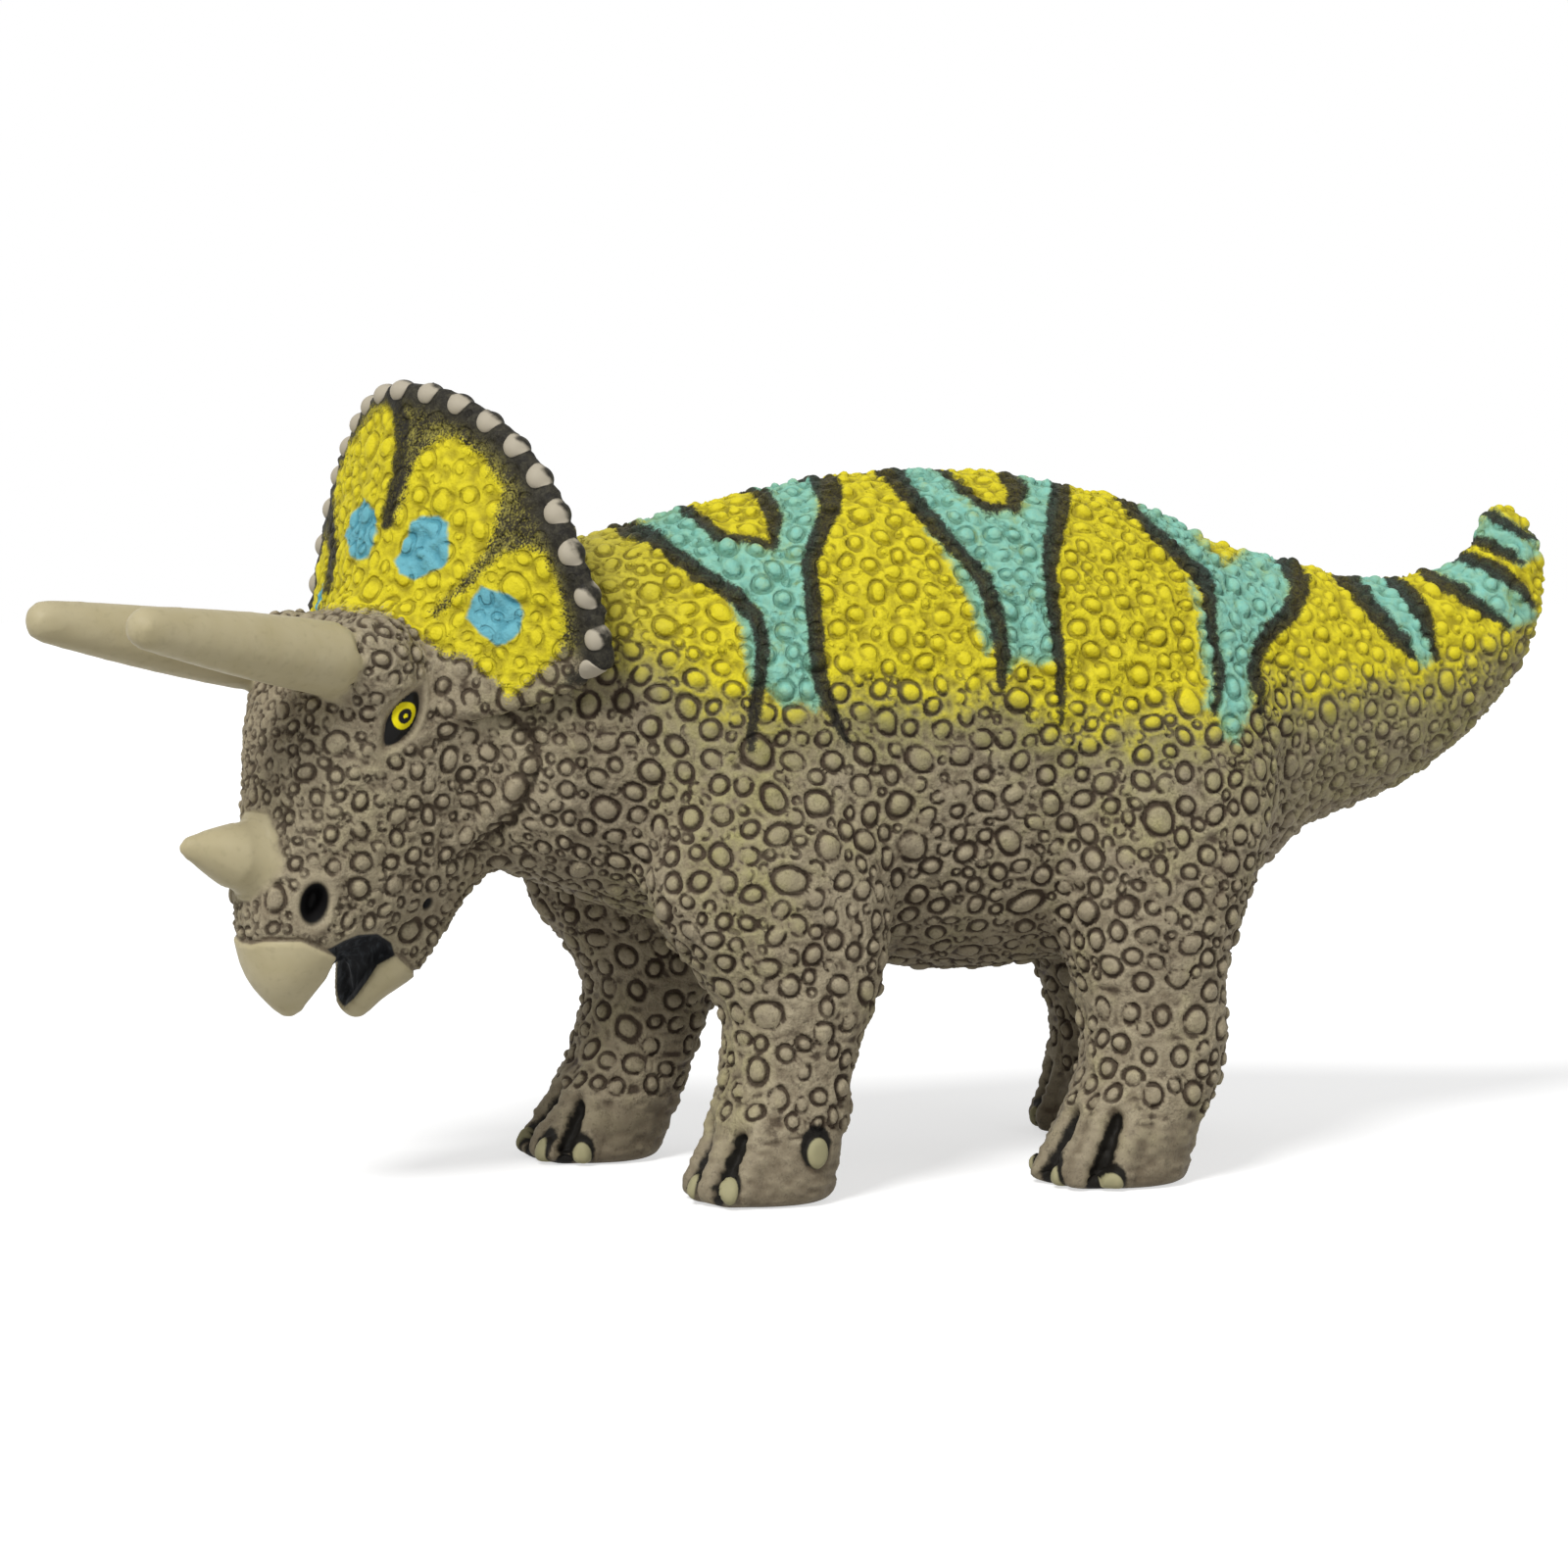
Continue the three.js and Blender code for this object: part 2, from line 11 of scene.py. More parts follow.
import bpy
import numpy as np
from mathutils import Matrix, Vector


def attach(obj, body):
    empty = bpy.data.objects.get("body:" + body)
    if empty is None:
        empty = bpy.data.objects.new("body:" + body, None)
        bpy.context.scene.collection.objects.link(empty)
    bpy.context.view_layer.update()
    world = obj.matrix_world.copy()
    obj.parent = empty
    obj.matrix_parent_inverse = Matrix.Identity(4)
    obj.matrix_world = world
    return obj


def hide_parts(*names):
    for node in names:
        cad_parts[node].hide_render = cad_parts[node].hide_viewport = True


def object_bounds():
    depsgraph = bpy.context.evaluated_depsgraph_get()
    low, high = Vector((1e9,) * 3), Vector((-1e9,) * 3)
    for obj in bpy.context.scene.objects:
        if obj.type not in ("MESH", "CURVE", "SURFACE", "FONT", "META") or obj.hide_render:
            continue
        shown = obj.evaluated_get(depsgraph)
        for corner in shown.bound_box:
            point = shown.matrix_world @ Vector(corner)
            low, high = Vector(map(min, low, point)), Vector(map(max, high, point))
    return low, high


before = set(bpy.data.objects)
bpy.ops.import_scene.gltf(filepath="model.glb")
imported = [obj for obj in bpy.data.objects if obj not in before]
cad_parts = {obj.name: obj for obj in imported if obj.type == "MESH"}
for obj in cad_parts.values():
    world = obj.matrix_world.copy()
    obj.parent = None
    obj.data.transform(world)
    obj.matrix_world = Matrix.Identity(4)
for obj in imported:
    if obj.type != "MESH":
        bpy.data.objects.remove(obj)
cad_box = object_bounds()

import openvdb
from mathutils import Matrix, Vector
from mathutils.bvhtree import BVHTree
from mathutils.kdtree import KDTree

MILLIMETRE = 0.001
SEED = 7
print("pieces in the packed model:", len(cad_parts))

# %% [markdown]
# ## The camera
# The photograph looks at the figure's front left side, from a little above its back. A long lens far
# away keeps the legs nearly parallel. The camera comes first because it also serves as a measuring
# tool: a place that was read off the photograph, in its pixels, is found on the figure by looking along
# the camera's line through that pixel.

# %% Camera
PHOTO_SIZE = 1600
FOCAL_LENGTH_PIXELS = 4550
SENSOR = 36
EYE_DISTANCE = 650
EYE_TURN = math.radians(-18)
EYE_RISE = math.radians(5)
TURNING_POINT = np.array([-5.62, -1.53, 50.0])
AIM_LIFT = 6.86

eye_back = np.array(
    [
        math.sin(EYE_TURN) * math.cos(EYE_RISE),
        -math.cos(EYE_TURN) * math.cos(EYE_RISE),
        math.sin(EYE_RISE),
    ]
)
eye = TURNING_POINT + EYE_DISTANCE * eye_back
aim = TURNING_POINT + np.array([0, 0, AIM_LIFT])
turn = Vector(aim - eye).to_track_quat("-Z", "Y").to_matrix()
eye_axes = np.array(turn)

camera_data = bpy.data.cameras.new("camera")
camera_data.sensor_width = SENSOR
camera_data.lens = FOCAL_LENGTH_PIXELS * SENSOR / PHOTO_SIZE
camera = bpy.data.objects.new("camera", camera_data)
camera.matrix_world = Matrix.Translation(eye * MILLIMETRE) @ turn.to_4x4()
bpy.context.scene.collection.objects.link(camera)
bpy.context.scene.camera = camera


def in_photo(points):
    """The photograph's pixel, across and down, at which each point is seen."""
    across, up, back = ((points - eye) @ eye_axes).T
    scale = FOCAL_LENGTH_PIXELS / -back
    return np.stack([PHOTO_SIZE / 2 + across * scale, PHOTO_SIZE / 2 - up * scale], axis=1)


def line_of_sight(pixel):
    """The direction from the eye through a pixel of the photograph."""
    across = pixel[0] - PHOTO_SIZE / 2
    up = PHOTO_SIZE / 2 - pixel[1]
    direction = eye_axes @ np.array([across, up, -FOCAL_LENGTH_PIXELS])
    return Vector(direction / np.linalg.norm(direction))


print("lens:", round(camera_data.lens, 1), "mm")
print("the turning point is seen at", in_photo(TURNING_POINT[None])[0])

# %% [markdown]
# ## One skin for all the mouldings
# The real figure shows no seam: its pieces are filled and painted over where they join. Thirteen
# separate meshes would show a step at every joint, so the skin is first made whole. Each packed piece
# is turned into a field of distances to its surface. Distance fields can be joined with a soft fillet,
# as clay is, and then one mesh is drawn where the distance is zero. Later that mesh is cut into its
# mouldings again.

# %% Distance fields
STEP = 0.9
BAND_CELLS = 9
MARGIN = 12
FAR = BAND_CELLS * STEP

figure_low = np.array(cad_box[0]) / MILLIMETRE
figure_high = np.array(cad_box[1]) / MILLIMETRE
grid_first = np.floor((figure_low - MARGIN) / STEP).astype(int)
grid_size = np.ceil((figure_high + MARGIN) / STEP).astype(int) - grid_first
grid_corner = tuple(int(index) for index in grid_first)
grid_transform = openvdb.createLinearTransform(voxelSize=STEP)


def distance_field(points, triangles=None, quads=None):
    """Distances from each cell of the grid to a closed surface, negative inside it."""
    grid = openvdb.FloatGrid.createLevelSetFromPolygons(
        points.astype(np.float32),
        triangles=triangles,
        quads=quads,
        transform=grid_transform,
        halfWidth=BAND_CELLS,
    )
    field = np.full(grid_size, FAR, np.float32)
    grid.copyToArray(field, ijk=grid_corner)
    return field


def surface_points(field):
    """The points and quads of the surface where a field is zero."""
    grid = openvdb.FloatGrid(FAR)
    grid.transform = grid_transform
    grid.copyFromArray(field, ijk=grid_corner)
    return grid.convertToQuads(0)


def mesh_points(mesh):
    points = np.empty(len(mesh.vertices) * 3, np.float32)
    mesh.vertices.foreach_get("co", points)
    return points.reshape(-1, 3) / MILLIMETRE


def node_field(name):
    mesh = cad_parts[name].data
    mesh.calc_loop_triangles()
    corners = np.empty(len(mesh.loop_triangles) * 3, np.int32)
    mesh.loop_triangles.foreach_get("vertices", corners)
    return distance_field(mesh_points(mesh), triangles=corners.reshape(-1, 3).astype(np.uint32))


node_fields = {name: node_field(name) for name in sorted(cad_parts)}
print("grid:", grid_size, "cells of", STEP, "mm")

# %% [markdown]
# ## Joining and softening
# A soft union rounds the crease between two fields over a given reach, which is how a leg grows out of
# a flank. The trunk is moulded as two hollow shells, and only its outer skin is wanted here, so cells
# that meet a wall in all six directions are filled first.

# %% Join the fields
BELL_REACH = 3


def soft_union(one, other, reach):
    share = np.clip(0.5 + 0.5 * (other - one) / reach, 0, 1)
    return other + (one - other) * share - reach * share * (1 - share)


def blurred(field, spread):
    """A field averaged over its neighbours with a bell-shaped weight, one axis after another."""
    reach = math.ceil(BELL_REACH * spread / STEP)
    offsets = np.arange(-reach, reach + 1)
    weights = np.exp(-0.5 * (offsets * STEP / spread) ** 2)
    weights /= weights.sum()
    for axis in range(3):
        field = sum(weight * np.roll(field, offset, axis) for weight, offset in zip(weights, offsets))
    return field.astype(np.float32)


def lowest(names):
    return np.minimum.reduce([node_fields[name] for name in names])


def filled(field):
    """A field without its enclosed hollows."""
    solid = field < 0
    enclosed = ~solid
    for axis in range(3):
        enclosed &= np.maximum.accumulate(solid, axis)
        enclosed &= np.flip(np.maximum.accumulate(np.flip(solid, axis), axis), axis)
    points, quads = surface_points(np.where(enclosed, -FAR, field))
    return distance_field(points, quads=quads)


SEAM_CLOSING = 0.25
LIMB_REACH = 4.0
JAW_REACH = 1.6
HORN_REACH = 1.2
FRILL_REACH = 2.5
SKIN_SOFTENING = 1.2
TRIM_SOFTENING = 0.6

trunk_nodes = ["head", "torso_left_shell", "torso_right_shell", "tail"]
leg_nodes = ["front_left_leg", "front_right_leg", "hind_left_leg", "hind_right_leg"]
horn_nodes = ["brow_horn_left", "brow_horn_right", "nose_horn"]

skin = filled(lowest(trunk_nodes) - SEAM_CLOSING) + SEAM_CLOSING
for name in leg_nodes:
    skin = soft_union(skin, node_fields[name], LIMB_REACH)
skin = soft_union(skin, node_fields["lower_jaw"], JAW_REACH)
skin = blurred(skin, SKIN_SOFTENING)
for name in horn_nodes:
    skin = soft_union(skin, blurred(node_fields[name], TRIM_SOFTENING), HORN_REACH)
skin = soft_union(skin, blurred(node_fields["frill"], TRIM_SOFTENING / 2), FRILL_REACH)
print("skin volume:", round((skin < 0).sum() * STEP**3 / 1000, 1), "cubic centimetres")

# %% [markdown]
# ## From field to mesh
# The zero surface comes out as small even squares. A few rounds of smoothing take out the grid's own
# steps, and one level of Catmull-Clark subdivision gives squares under half a millimetre wide, which is
# fine enough to model each ring and dome as real shape.

# %% Mesh helpers
SMOOTHING_ROUNDS = 6
SHRINK_SHARE = 0.5
SWELL_SHARE = -0.52
LEAST_LENGTH = 1e-12


def edges_of(quads):
    """Each pair of neighbouring points once."""
    starts = quads.ravel().astype(np.int64)
    ends = np.roll(quads, -1, axis=1).ravel().astype(np.int64)
    most = max(starts.max(), ends.max()) + 1
    pairs = np.unique(np.minimum(starts, ends) * most + np.maximum(starts, ends))
    return np.stack([pairs // most, pairs % most], axis=1)


def neighbour_mean(values, edges):
    """Each point's mean over its neighbours."""
    count = np.bincount(edges.ravel(), minlength=len(values))
    ends = np.concatenate([edges, edges[:, ::-1]])
    columns = values if values.ndim == 2 else values[:, None]
    total = [np.bincount(ends[:, 0], column[ends[:, 1]], len(values)) for column in columns.T]
    mean = np.stack(total, axis=1) / np.maximum(count, 1)[:, None]
    return mean if values.ndim == 2 else mean[:, 0]


def smoothed(points, edges, rounds):
    for _ in range(rounds):
        for share in (SHRINK_SHARE, SWELL_SHARE):
            points = points + share * (neighbour_mean(points, edges) - points)
    return points


def subdivided(points, quads):
    mesh = bpy.data.meshes.new("skin")
    mesh.from_pydata(points, [], quads.tolist())
    carrier = bpy.data.objects.new("skin", mesh)
    bpy.context.scene.collection.objects.link(carrier)
    carrier.modifiers.new("finer", "SUBSURF").levels = 1
    finer = carrier.evaluated_get(bpy.context.evaluated_depsgraph_get()).to_mesh()
    finer_points = np.empty(len(finer.vertices) * 3)
    finer.vertices.foreach_get("co", finer_points)
    finer_quads = np.empty(len(finer.loops), np.int32)
    finer.loops.foreach_get("vertex_index", finer_quads)
    bpy.data.objects.remove(carrier)
    bpy.data.meshes.remove(mesh)
    return finer_points.reshape(-1, 3), finer_quads.reshape(-1, 4)


def normals_of(points, quads):
    corners = points[quads]
    facing = np.cross(corners[:, 2] - corners[:, 0], corners[:, 3] - corners[:, 1])
    total = np.zeros_like(points)
    for axis in range(3):
        for corner in range(4):
            total[:, axis] += np.bincount(quads[:, corner], facing[:, axis], len(points))
    return total / np.maximum(np.linalg.norm(total, axis=1), LEAST_LENGTH)[:, None]


print("smoothing:", SMOOTHING_ROUNDS, "rounds of", SHRINK_SHARE, "and", SWELL_SHARE)

# %% [markdown]
# ## Draw the skin
# The helpers are used in turn on the joined field. Relief and light both follow the normals, so the
# squares are turned round if they come out facing inward.

# %% Draw the skin
coarse_points, coarse_quads = surface_points(skin)
coarse_quads = coarse_quads.astype(np.int64)
coarse_points = smoothed(coarse_points.astype(float), edges_of(coarse_quads), SMOOTHING_ROUNDS)
base, quads = subdivided(coarse_points, coarse_quads)
edges = edges_of(quads)
base_normals = normals_of(base, quads)
facing_in = np.einsum("ij,ij->", base - base.mean(0), base_normals) < 0
if facing_in:
    quads = quads[:, ::-1]
    base_normals = -base_normals
print("skin:", len(base), "points,", len(quads), "squares")

# %% [markdown]
# ## Keep the outer surface
# Where a limb's peg sits in its socket the fields leave a small closed pocket inside the body. Nobody
# sees it, so only the largest connected surface is kept. Points are linked by their edges, and each
# group takes the lowest number found in it.

# %% Drop the inner pockets


def groups(count, edges):
    """A number for each point that is the same for all points joined by edges."""
    label = np.arange(count)
    while True:
        lower = label.copy()
        least = np.minimum(label[edges[:, 0]], label[edges[:, 1]])
        np.minimum.at(lower, edges[:, 0], least)
        np.minimum.at(lower, edges[:, 1], least)
        lower = lower[lower]
        if (lower == label).all():
            return label
        label = lower


def compacted(points, faces):
    """Only the points that the faces use, and the faces renumbered to match."""
    used, renumbered = np.unique(faces, return_inverse=True)
    return points[used], renumbered.reshape(faces.shape)


group = groups(len(base), edges)
largest = np.bincount(group).argmax()
base, quads = compacted(base, quads[group[quads[:, 0]] == largest])
edges = edges_of(quads)
base_normals = normals_of(base, quads)
print("outer surface:", len(base), "points,", len(quads), "squares")

# %% [markdown]
# ## Which moulding is where
# Every point of the skin belongs to the moulding whose field is lowest there. The photograph shows only
# the left side. The right side is taken as its mirror image: the trunk in the figure's own middle
# plane, and the head in its own, because the head is turned to its left by twenty degrees.

# %% Places on the figure
HEAD_PIVOT = np.array([-64.3, -1.53, 76.0])
HEAD_TURN = math.radians(20)
MIDDLE = -1.53

head_back = np.array([math.cos(HEAD_TURN), math.sin(HEAD_TURN), 0])
head_right = np.array([-math.sin(HEAD_TURN), math.cos(HEAD_TURN), 0])
node_names = sorted(node_fields)
head_names = ["head", "lower_jaw", "frill", "brow_horn_left", "brow_horn_right", "nose_horn"]


def sampled(field, points):
    """The field's value at each point, blended from the eight cells around it."""
    place = points / STEP - grid_first
    cell = np.floor(place).astype(int)
    share = place - cell
    total = np.zeros(len(points))
    for corner in np.ndindex(2, 2, 2):
        weight = np.where(corner, share, 1 - share).prod(axis=1)
        total += weight * field[tuple((cell + corner).T)]
    return total


def on_left(points, of_head):
    """Points of the right side carried to their mirror places on the left."""
    middle = np.where(of_head[:, None], HEAD_PIVOT, [0, MIDDLE, 0])
    across = np.where(of_head[:, None], head_right, [0, 1, 0])
    depth = np.einsum("ij,ij->i", points - middle, across)
    return points - 2 * np.maximum(depth, 0)[:, None] * across


def on_head_axes(points):
    """How far ahead, to the right and above the head's pivot each point is."""
    offset = points - HEAD_PIVOT
    return np.stack([offset @ -head_back, offset @ head_right, offset[:, 2]], axis=1)


def step_up(value, low, high):
    """Zero below low, one above high and a smooth rise between."""
    share = np.clip((value - low) / (high - low), 0, 1)
    return share * share * (3 - 2 * share)


depths = np.stack([sampled(node_fields[name], base) for name in node_names], axis=1)
owner = depths.argmin(axis=1)


def owned_by(*names):
    return np.isin(owner, [node_names.index(name) for name in names])


for name in node_names:
    print(name, "owns", owned_by(name).sum(), "points")

# %% [markdown]
# ## The frill's bent corners
# Seen in the photograph, the near lower corner of the frill bends back further than the packed model's
# plain curve, and the far one hardly does. The skin of the frill is pushed back there, and the push
# fades out toward the head and the neck.

# %% Bend the frill
FLARE_NEAR = 5.5
FLARE_FAR = 0.5
CORNER_ASIDE = (14, 30)
CORNER_RISE = (19, -2)
FRILL_LEAD = (0, 4)


def toward_corner(aside, rise):
    """How far out toward a lower corner of the frill a place lies, from zero to one."""
    return step_up(np.abs(aside), *CORNER_ASIDE) * step_up(rise, *CORNER_RISE)


head_place = on_head_axes(base)
frill_column = node_names.index("frill")
others = np.arange(len(node_names)) != frill_column
frill_lead = depths[:, others].min(axis=1) - depths[:, frill_column]
bend = step_up(frill_lead, *FRILL_LEAD) * toward_corner(head_place[:, 1], head_place[:, 2])
flare = np.where(head_place[:, 1] < 0, FLARE_NEAR, FLARE_FAR) * bend
of_head = owned_by(*head_names)
seen = in_photo(on_left(base, of_head) + FLARE_NEAR * bend[:, None] * head_back)
base += flare[:, None] * head_back
base_normals = normals_of(base, quads)
print("the frill's corners go back by up to", flare.max().round(2), "mm")

# %% [markdown]
# ## Where the paint goes
# The real figure is sprayed and brushed by hand, and each figure comes out a little different. Here each
# colour is an outline or a brush stroke, read off the photograph in its pixels. What is kept for each
# point of the skin is its distance inside the outline, in millimetres. The materials turn that distance
# into an edge, crisp for the brushed black and speckled for the sprayed yellow.

# %% Brush strokes and outlines
PIXELS_PER_MILLIMETRE = 7
PAINT_REACH = 6.0


def gap_to_line(points, line):
    """The distance of each point to a line of strokes, less half the brush's width there, in pixels."""
    gap = np.full(len(points), np.inf)
    line = np.array(line, float)
    for start, end in zip(line[:-1], line[1:]):
        along = end[:2] - start[:2]
        share = np.clip((points - start[:2]) @ along / (along @ along), 0, 1)
        width = start[2] + share * (end[2] - start[2])
        place = start[:2] + share[:, None] * along
        gap = np.minimum(gap, np.linalg.norm(points - place, axis=1) - width / 2)
    return gap


def within(points, outline):
    """Whether each point lies inside a closed outline."""
    inside = np.zeros(len(points), bool)
    for (x0, y0), (x1, y1) in zip(outline, outline[1:] + outline[:1]):
        if y0 == y1:
            continue
        crossing = x0 + (points[:, 1] - y0) * (x1 - x0) / (y1 - y0)
        inside ^= ((y0 > points[:, 1]) != (y1 > points[:, 1])) & (points[:, 0] < crossing)
    return inside


def near_box(points, corners):
    """Whether each point is close enough to some corners for their paint to reach it."""
    margin = PAINT_REACH * PIXELS_PER_MILLIMETRE
    corners = np.array(corners, float)[:, :2]
    return ((points > corners.min(0) - margin) & (points < corners.max(0) + margin)).all(axis=1)


def depth_in_strokes(points, strokes):
    """How far inside the nearest stroke each point lies, in millimetres, negative outside."""
    depth = np.full(len(points), -PAINT_REACH)
    for stroke in strokes:
        near = near_box(points, stroke)
        gap = gap_to_line(points[near], stroke) / PIXELS_PER_MILLIMETRE
        depth[near] = np.maximum(depth[near], -gap)
    return depth


def depth_in_outlines(points, outlines):
    depth = np.full(len(points), -PAINT_REACH)
    for outline in outlines:
        near = near_box(points, outline)
        edge = [(x, y, 0) for x, y in outline + outline[:1]]
        gap = gap_to_line(points[near], edge) / PIXELS_PER_MILLIMETRE
        gap = np.where(within(points[near], outline), gap, -gap)
        depth[near] = np.maximum(depth[near], gap)
    return np.clip(depth, -PAINT_REACH, PAINT_REACH)


print("paint is measured up to", PAINT_REACH, "mm from its edge")

# %% [markdown]
# ## The striped back
# Yellow is sprayed from above and fades out on the flanks. Bands of turquoise lie between wavy black
# stripes, and the first two bands have a small yellow wedge in a black U at the spine. Each stroke is a
# run of points with the brush's width at each.

# %% Stripes and bands
BACK_STRIPES = [
    [(636, 540, 15), (660, 546, 17), (676, 557, 17), (714, 587, 18), (752, 610, 17), (771, 630, 16)]
    + [(778, 655, 16), (775, 698, 14), (768, 737, 12), (766, 764, 8)],
    [(698, 519, 13), (718, 533, 14), (731, 546, 12), (745, 549, 9), (787, 556, 9)],
    [(768, 496, 14), (780, 508, 18), (790, 530, 18), (790, 556, 10)],
    [(838, 486, 30), (846, 503, 28), (848, 520, 21), (835, 548, 19), (826, 575, 18), (828, 603, 17)]
    + [(832, 640, 18), (833, 668, 17), (838, 700, 16), (849, 727, 13), (865, 760, 5)],
    [(904, 480, 26), (916, 490, 22), (930, 511, 19), (948, 529, 18), (968, 552, 17), (985, 570, 16)]
    + [(1003, 592, 17), (1016, 630, 18), (1023, 668, 16), (1022, 700, 10)],
    [(958, 479, 9), (976, 495, 8), (990, 507, 10), (1004, 519, 12), (1036, 521, 10)],
    [(1026, 486, 16), (1038, 502, 22), (1033, 517, 14)],
    [(1082, 492, 20), (1080, 520, 24), (1074, 555, 19), (1070, 583, 15), (1074, 614, 14)]
    + [(1078, 648, 14), (1081, 680, 12), (1082, 712, 9), (1083, 738, 6)],
    [(1143, 507, 15), (1165, 533, 14), (1188, 552, 15), (1208, 573, 16), (1227, 592, 17)]
    + [(1234, 615, 14), (1235, 635, 12), (1239, 662, 13), (1243, 692, 12), (1239, 728, 7)],
    [(1308, 570, 16), (1322, 588, 20), (1326, 603, 20), (1316, 626, 20), (1298, 642, 19)]
    + [(1284, 660, 16), (1279, 680, 14), (1283, 706, 10), (1289, 745, 5)],
    [(1366, 587, 15), (1384, 603, 18), (1404, 627, 20), (1424, 652, 18), (1441, 672, 8)],
    [(1418, 592, 14), (1438, 606, 19), (1452, 631, 19), (1466, 672, 8)],
    [(1456, 588, 14), (1483, 602, 17), (1511, 621, 15), (1538, 638, 7)],
    [(1492, 568, 13), (1524, 580, 17), (1546, 596, 15), (1562, 618, 7)],
    [(1505, 552, 12), (1522, 557, 14), (1540, 568, 12), (1552, 574, 6)],
    [(1518, 522, 11), (1530, 532, 13), (1546, 541, 12), (1564, 550, 7)],
]
TURQUOISE_BANDS = [
    [(640, 544), (660, 530), (698, 515), (716, 532), (731, 547), (788, 560), (796, 530), (775, 494)]
    + [(838, 480), (835, 548), (826, 575), (830, 640), (834, 690), (840, 716), (831, 727), (818, 716)]
    + [(800, 722), (787, 706), (775, 700), (778, 655), (771, 630), (752, 610), (714, 587), (676, 557)],
    [(744, 612), (756, 640), (760, 672), (766, 706), (777, 700), (779, 650), (766, 622)],
    [(905, 472), (958, 476), (988, 507), (1005, 521), (1038, 523), (1044, 502), (1030, 480)]
    + [(1082, 484), (1074, 555), (1070, 583), (1080, 650), (1083, 672), (1060, 680), (1042, 672)]
    + [(1026, 690), (1021, 640), (1003, 592), (968, 552), (930, 511)],
    [(944, 540), (958, 556), (974, 584), (986, 606), (996, 640), (1007, 668), (1020, 650), (1000, 590)],
    [(1150, 505), (1212, 528), (1225, 552), (1252, 576), (1270, 562), (1262, 545), (1318, 570)]
    + [(1316, 626), (1298, 642), (1284, 660), (1279, 690), (1276, 722), (1262, 760), (1250, 752)]
    + [(1240, 724), (1239, 662), (1234, 615), (1208, 573), (1165, 533)],
    [(1212, 592), (1222, 625), (1224, 668), (1232, 700), (1226, 722), (1240, 728), (1240, 640)],
    [(1366, 580), (1420, 586), (1440, 606), (1456, 640), (1464, 668), (1452, 682), (1441, 672)]
    + [(1404, 627), (1384, 603)],
    [(1456, 580), (1494, 564), (1530, 582), (1562, 616), (1568, 632), (1540, 642), (1511, 621)],
    [(1503, 548), (1520, 518), (1566, 548), (1572, 566), (1552, 578), (1530, 562)],
]
YELLOW_EDGE = [(590, 655), (640, 665), (700, 690), (770, 722), (830, 705), (860, 700), (950, 712)]
YELLOW_EDGE += [(1020, 706), (1080, 734), (1160, 730), (1230, 725), (1290, 700), (1340, 706)]
YELLOW_EDGE += [(1400, 690), (1480, 690), (1540, 650), (1600, 600)]
print("black stripes:", len(BACK_STRIPES), "and turquoise outlines:", len(TURQUOISE_BANDS))

# %% [markdown]
# ## Spray and brush the back
# The yellow is measured down from its wavy lower edge. It is weaker over the neck, some of it drifts
# down the flank, and some lies on the shoulder. Stripes and bands keep to the trunk, tail and legs.

# %% Distances on the back
YELLOW_START = (590, 715)
FIRST_STRENGTH = 0.42
SPRAY_REACH = 20
OVERSPRAY_DROP = -24
OVERSPRAY_START = (470, 640)
SHOULDER_SPRAY = (775, 895)
SHOULDER_SPREAD = (105, 85)
SHOULDER_STRENGTH = 0.55

trunk_names = ["torso_left_shell", "torso_right_shell", "tail", *leg_nodes]
on_trunk = owned_by(*trunk_names)
edge_across, edge_down = np.array(YELLOW_EDGE, float).T
above_edge = (np.interp(seen[:, 0], edge_across, edge_down) - seen[:, 1]) / PIXELS_PER_MILLIMETRE
yellow_depth = np.where(on_trunk, np.clip(above_edge, -SPRAY_REACH, PAINT_REACH), -SPRAY_REACH)
overspray = np.interp(above_edge, (OVERSPRAY_DROP, 0), (0, 1))
overspray *= np.interp(seen[:, 0], OVERSPRAY_START, (0, 1))
off_shoulder = (seen - SHOULDER_SPRAY) / SHOULDER_SPREAD
overspray += SHOULDER_STRENGTH * np.exp(-np.sum(off_shoulder**2, axis=1))
yellow_strength = np.clip(np.interp(seen[:, 0], YELLOW_START, (FIRST_STRENGTH, 1)), 0, 1)
black_depth = np.where(on_trunk, depth_in_strokes(seen, BACK_STRIPES), -PAINT_REACH)
turquoise_depth = np.where(on_trunk, depth_in_outlines(seen, TURQUOISE_BANDS), -PAINT_REACH)
print("points under black stripes:", (black_depth > 0).sum())

# %% [markdown]
# ## The painted frill
# The frill is a shield with a yellow butterfly on it: two lobes on each side, a dark ray down the middle
# and between the lobes, and a blue spot in each lobe. Its rim is brushed dark and carries a row of pale
# knobs. The near half and the far inner lobe are read off the photograph. The far outer lobe is hardly
# in view, and is the mirror image of the near one. The frill's back was never seen and stays plain.

# %% Outlines on the frill
FRILL_FAR_RAY = [(380, 405), (340, 470), (338, 510), (341, 560), (335, 605), (325, 640)]
FRILL_YELLOW = [
    [(383, 409), (363, 430), (347, 455), (340, 495), (344, 534), (342, 572), (326, 618), (358, 624)]
    + [(392, 622), (402, 634), (415, 645), (438, 653), (454, 667), (477, 667), (492, 684), (510, 695)]
    + [(519, 711), (546, 690), (569, 668), (577, 642), (573, 611), (565, 588), (556, 565), (538, 559)]
    + [(515, 565), (496, 580), (485, 595), (465, 611), (446, 630), (440, 626), (450, 615), (469, 595)]
    + [(485, 576), (504, 545), (508, 518), (513, 499), (504, 484), (488, 463), (465, 447), (450, 447)]
    + [(427, 468), (419, 488), (412, 511), (402, 538), (392, 538), (396, 515), (406, 488), (412, 457)]
    + [(408, 430), (398, 415)],
]
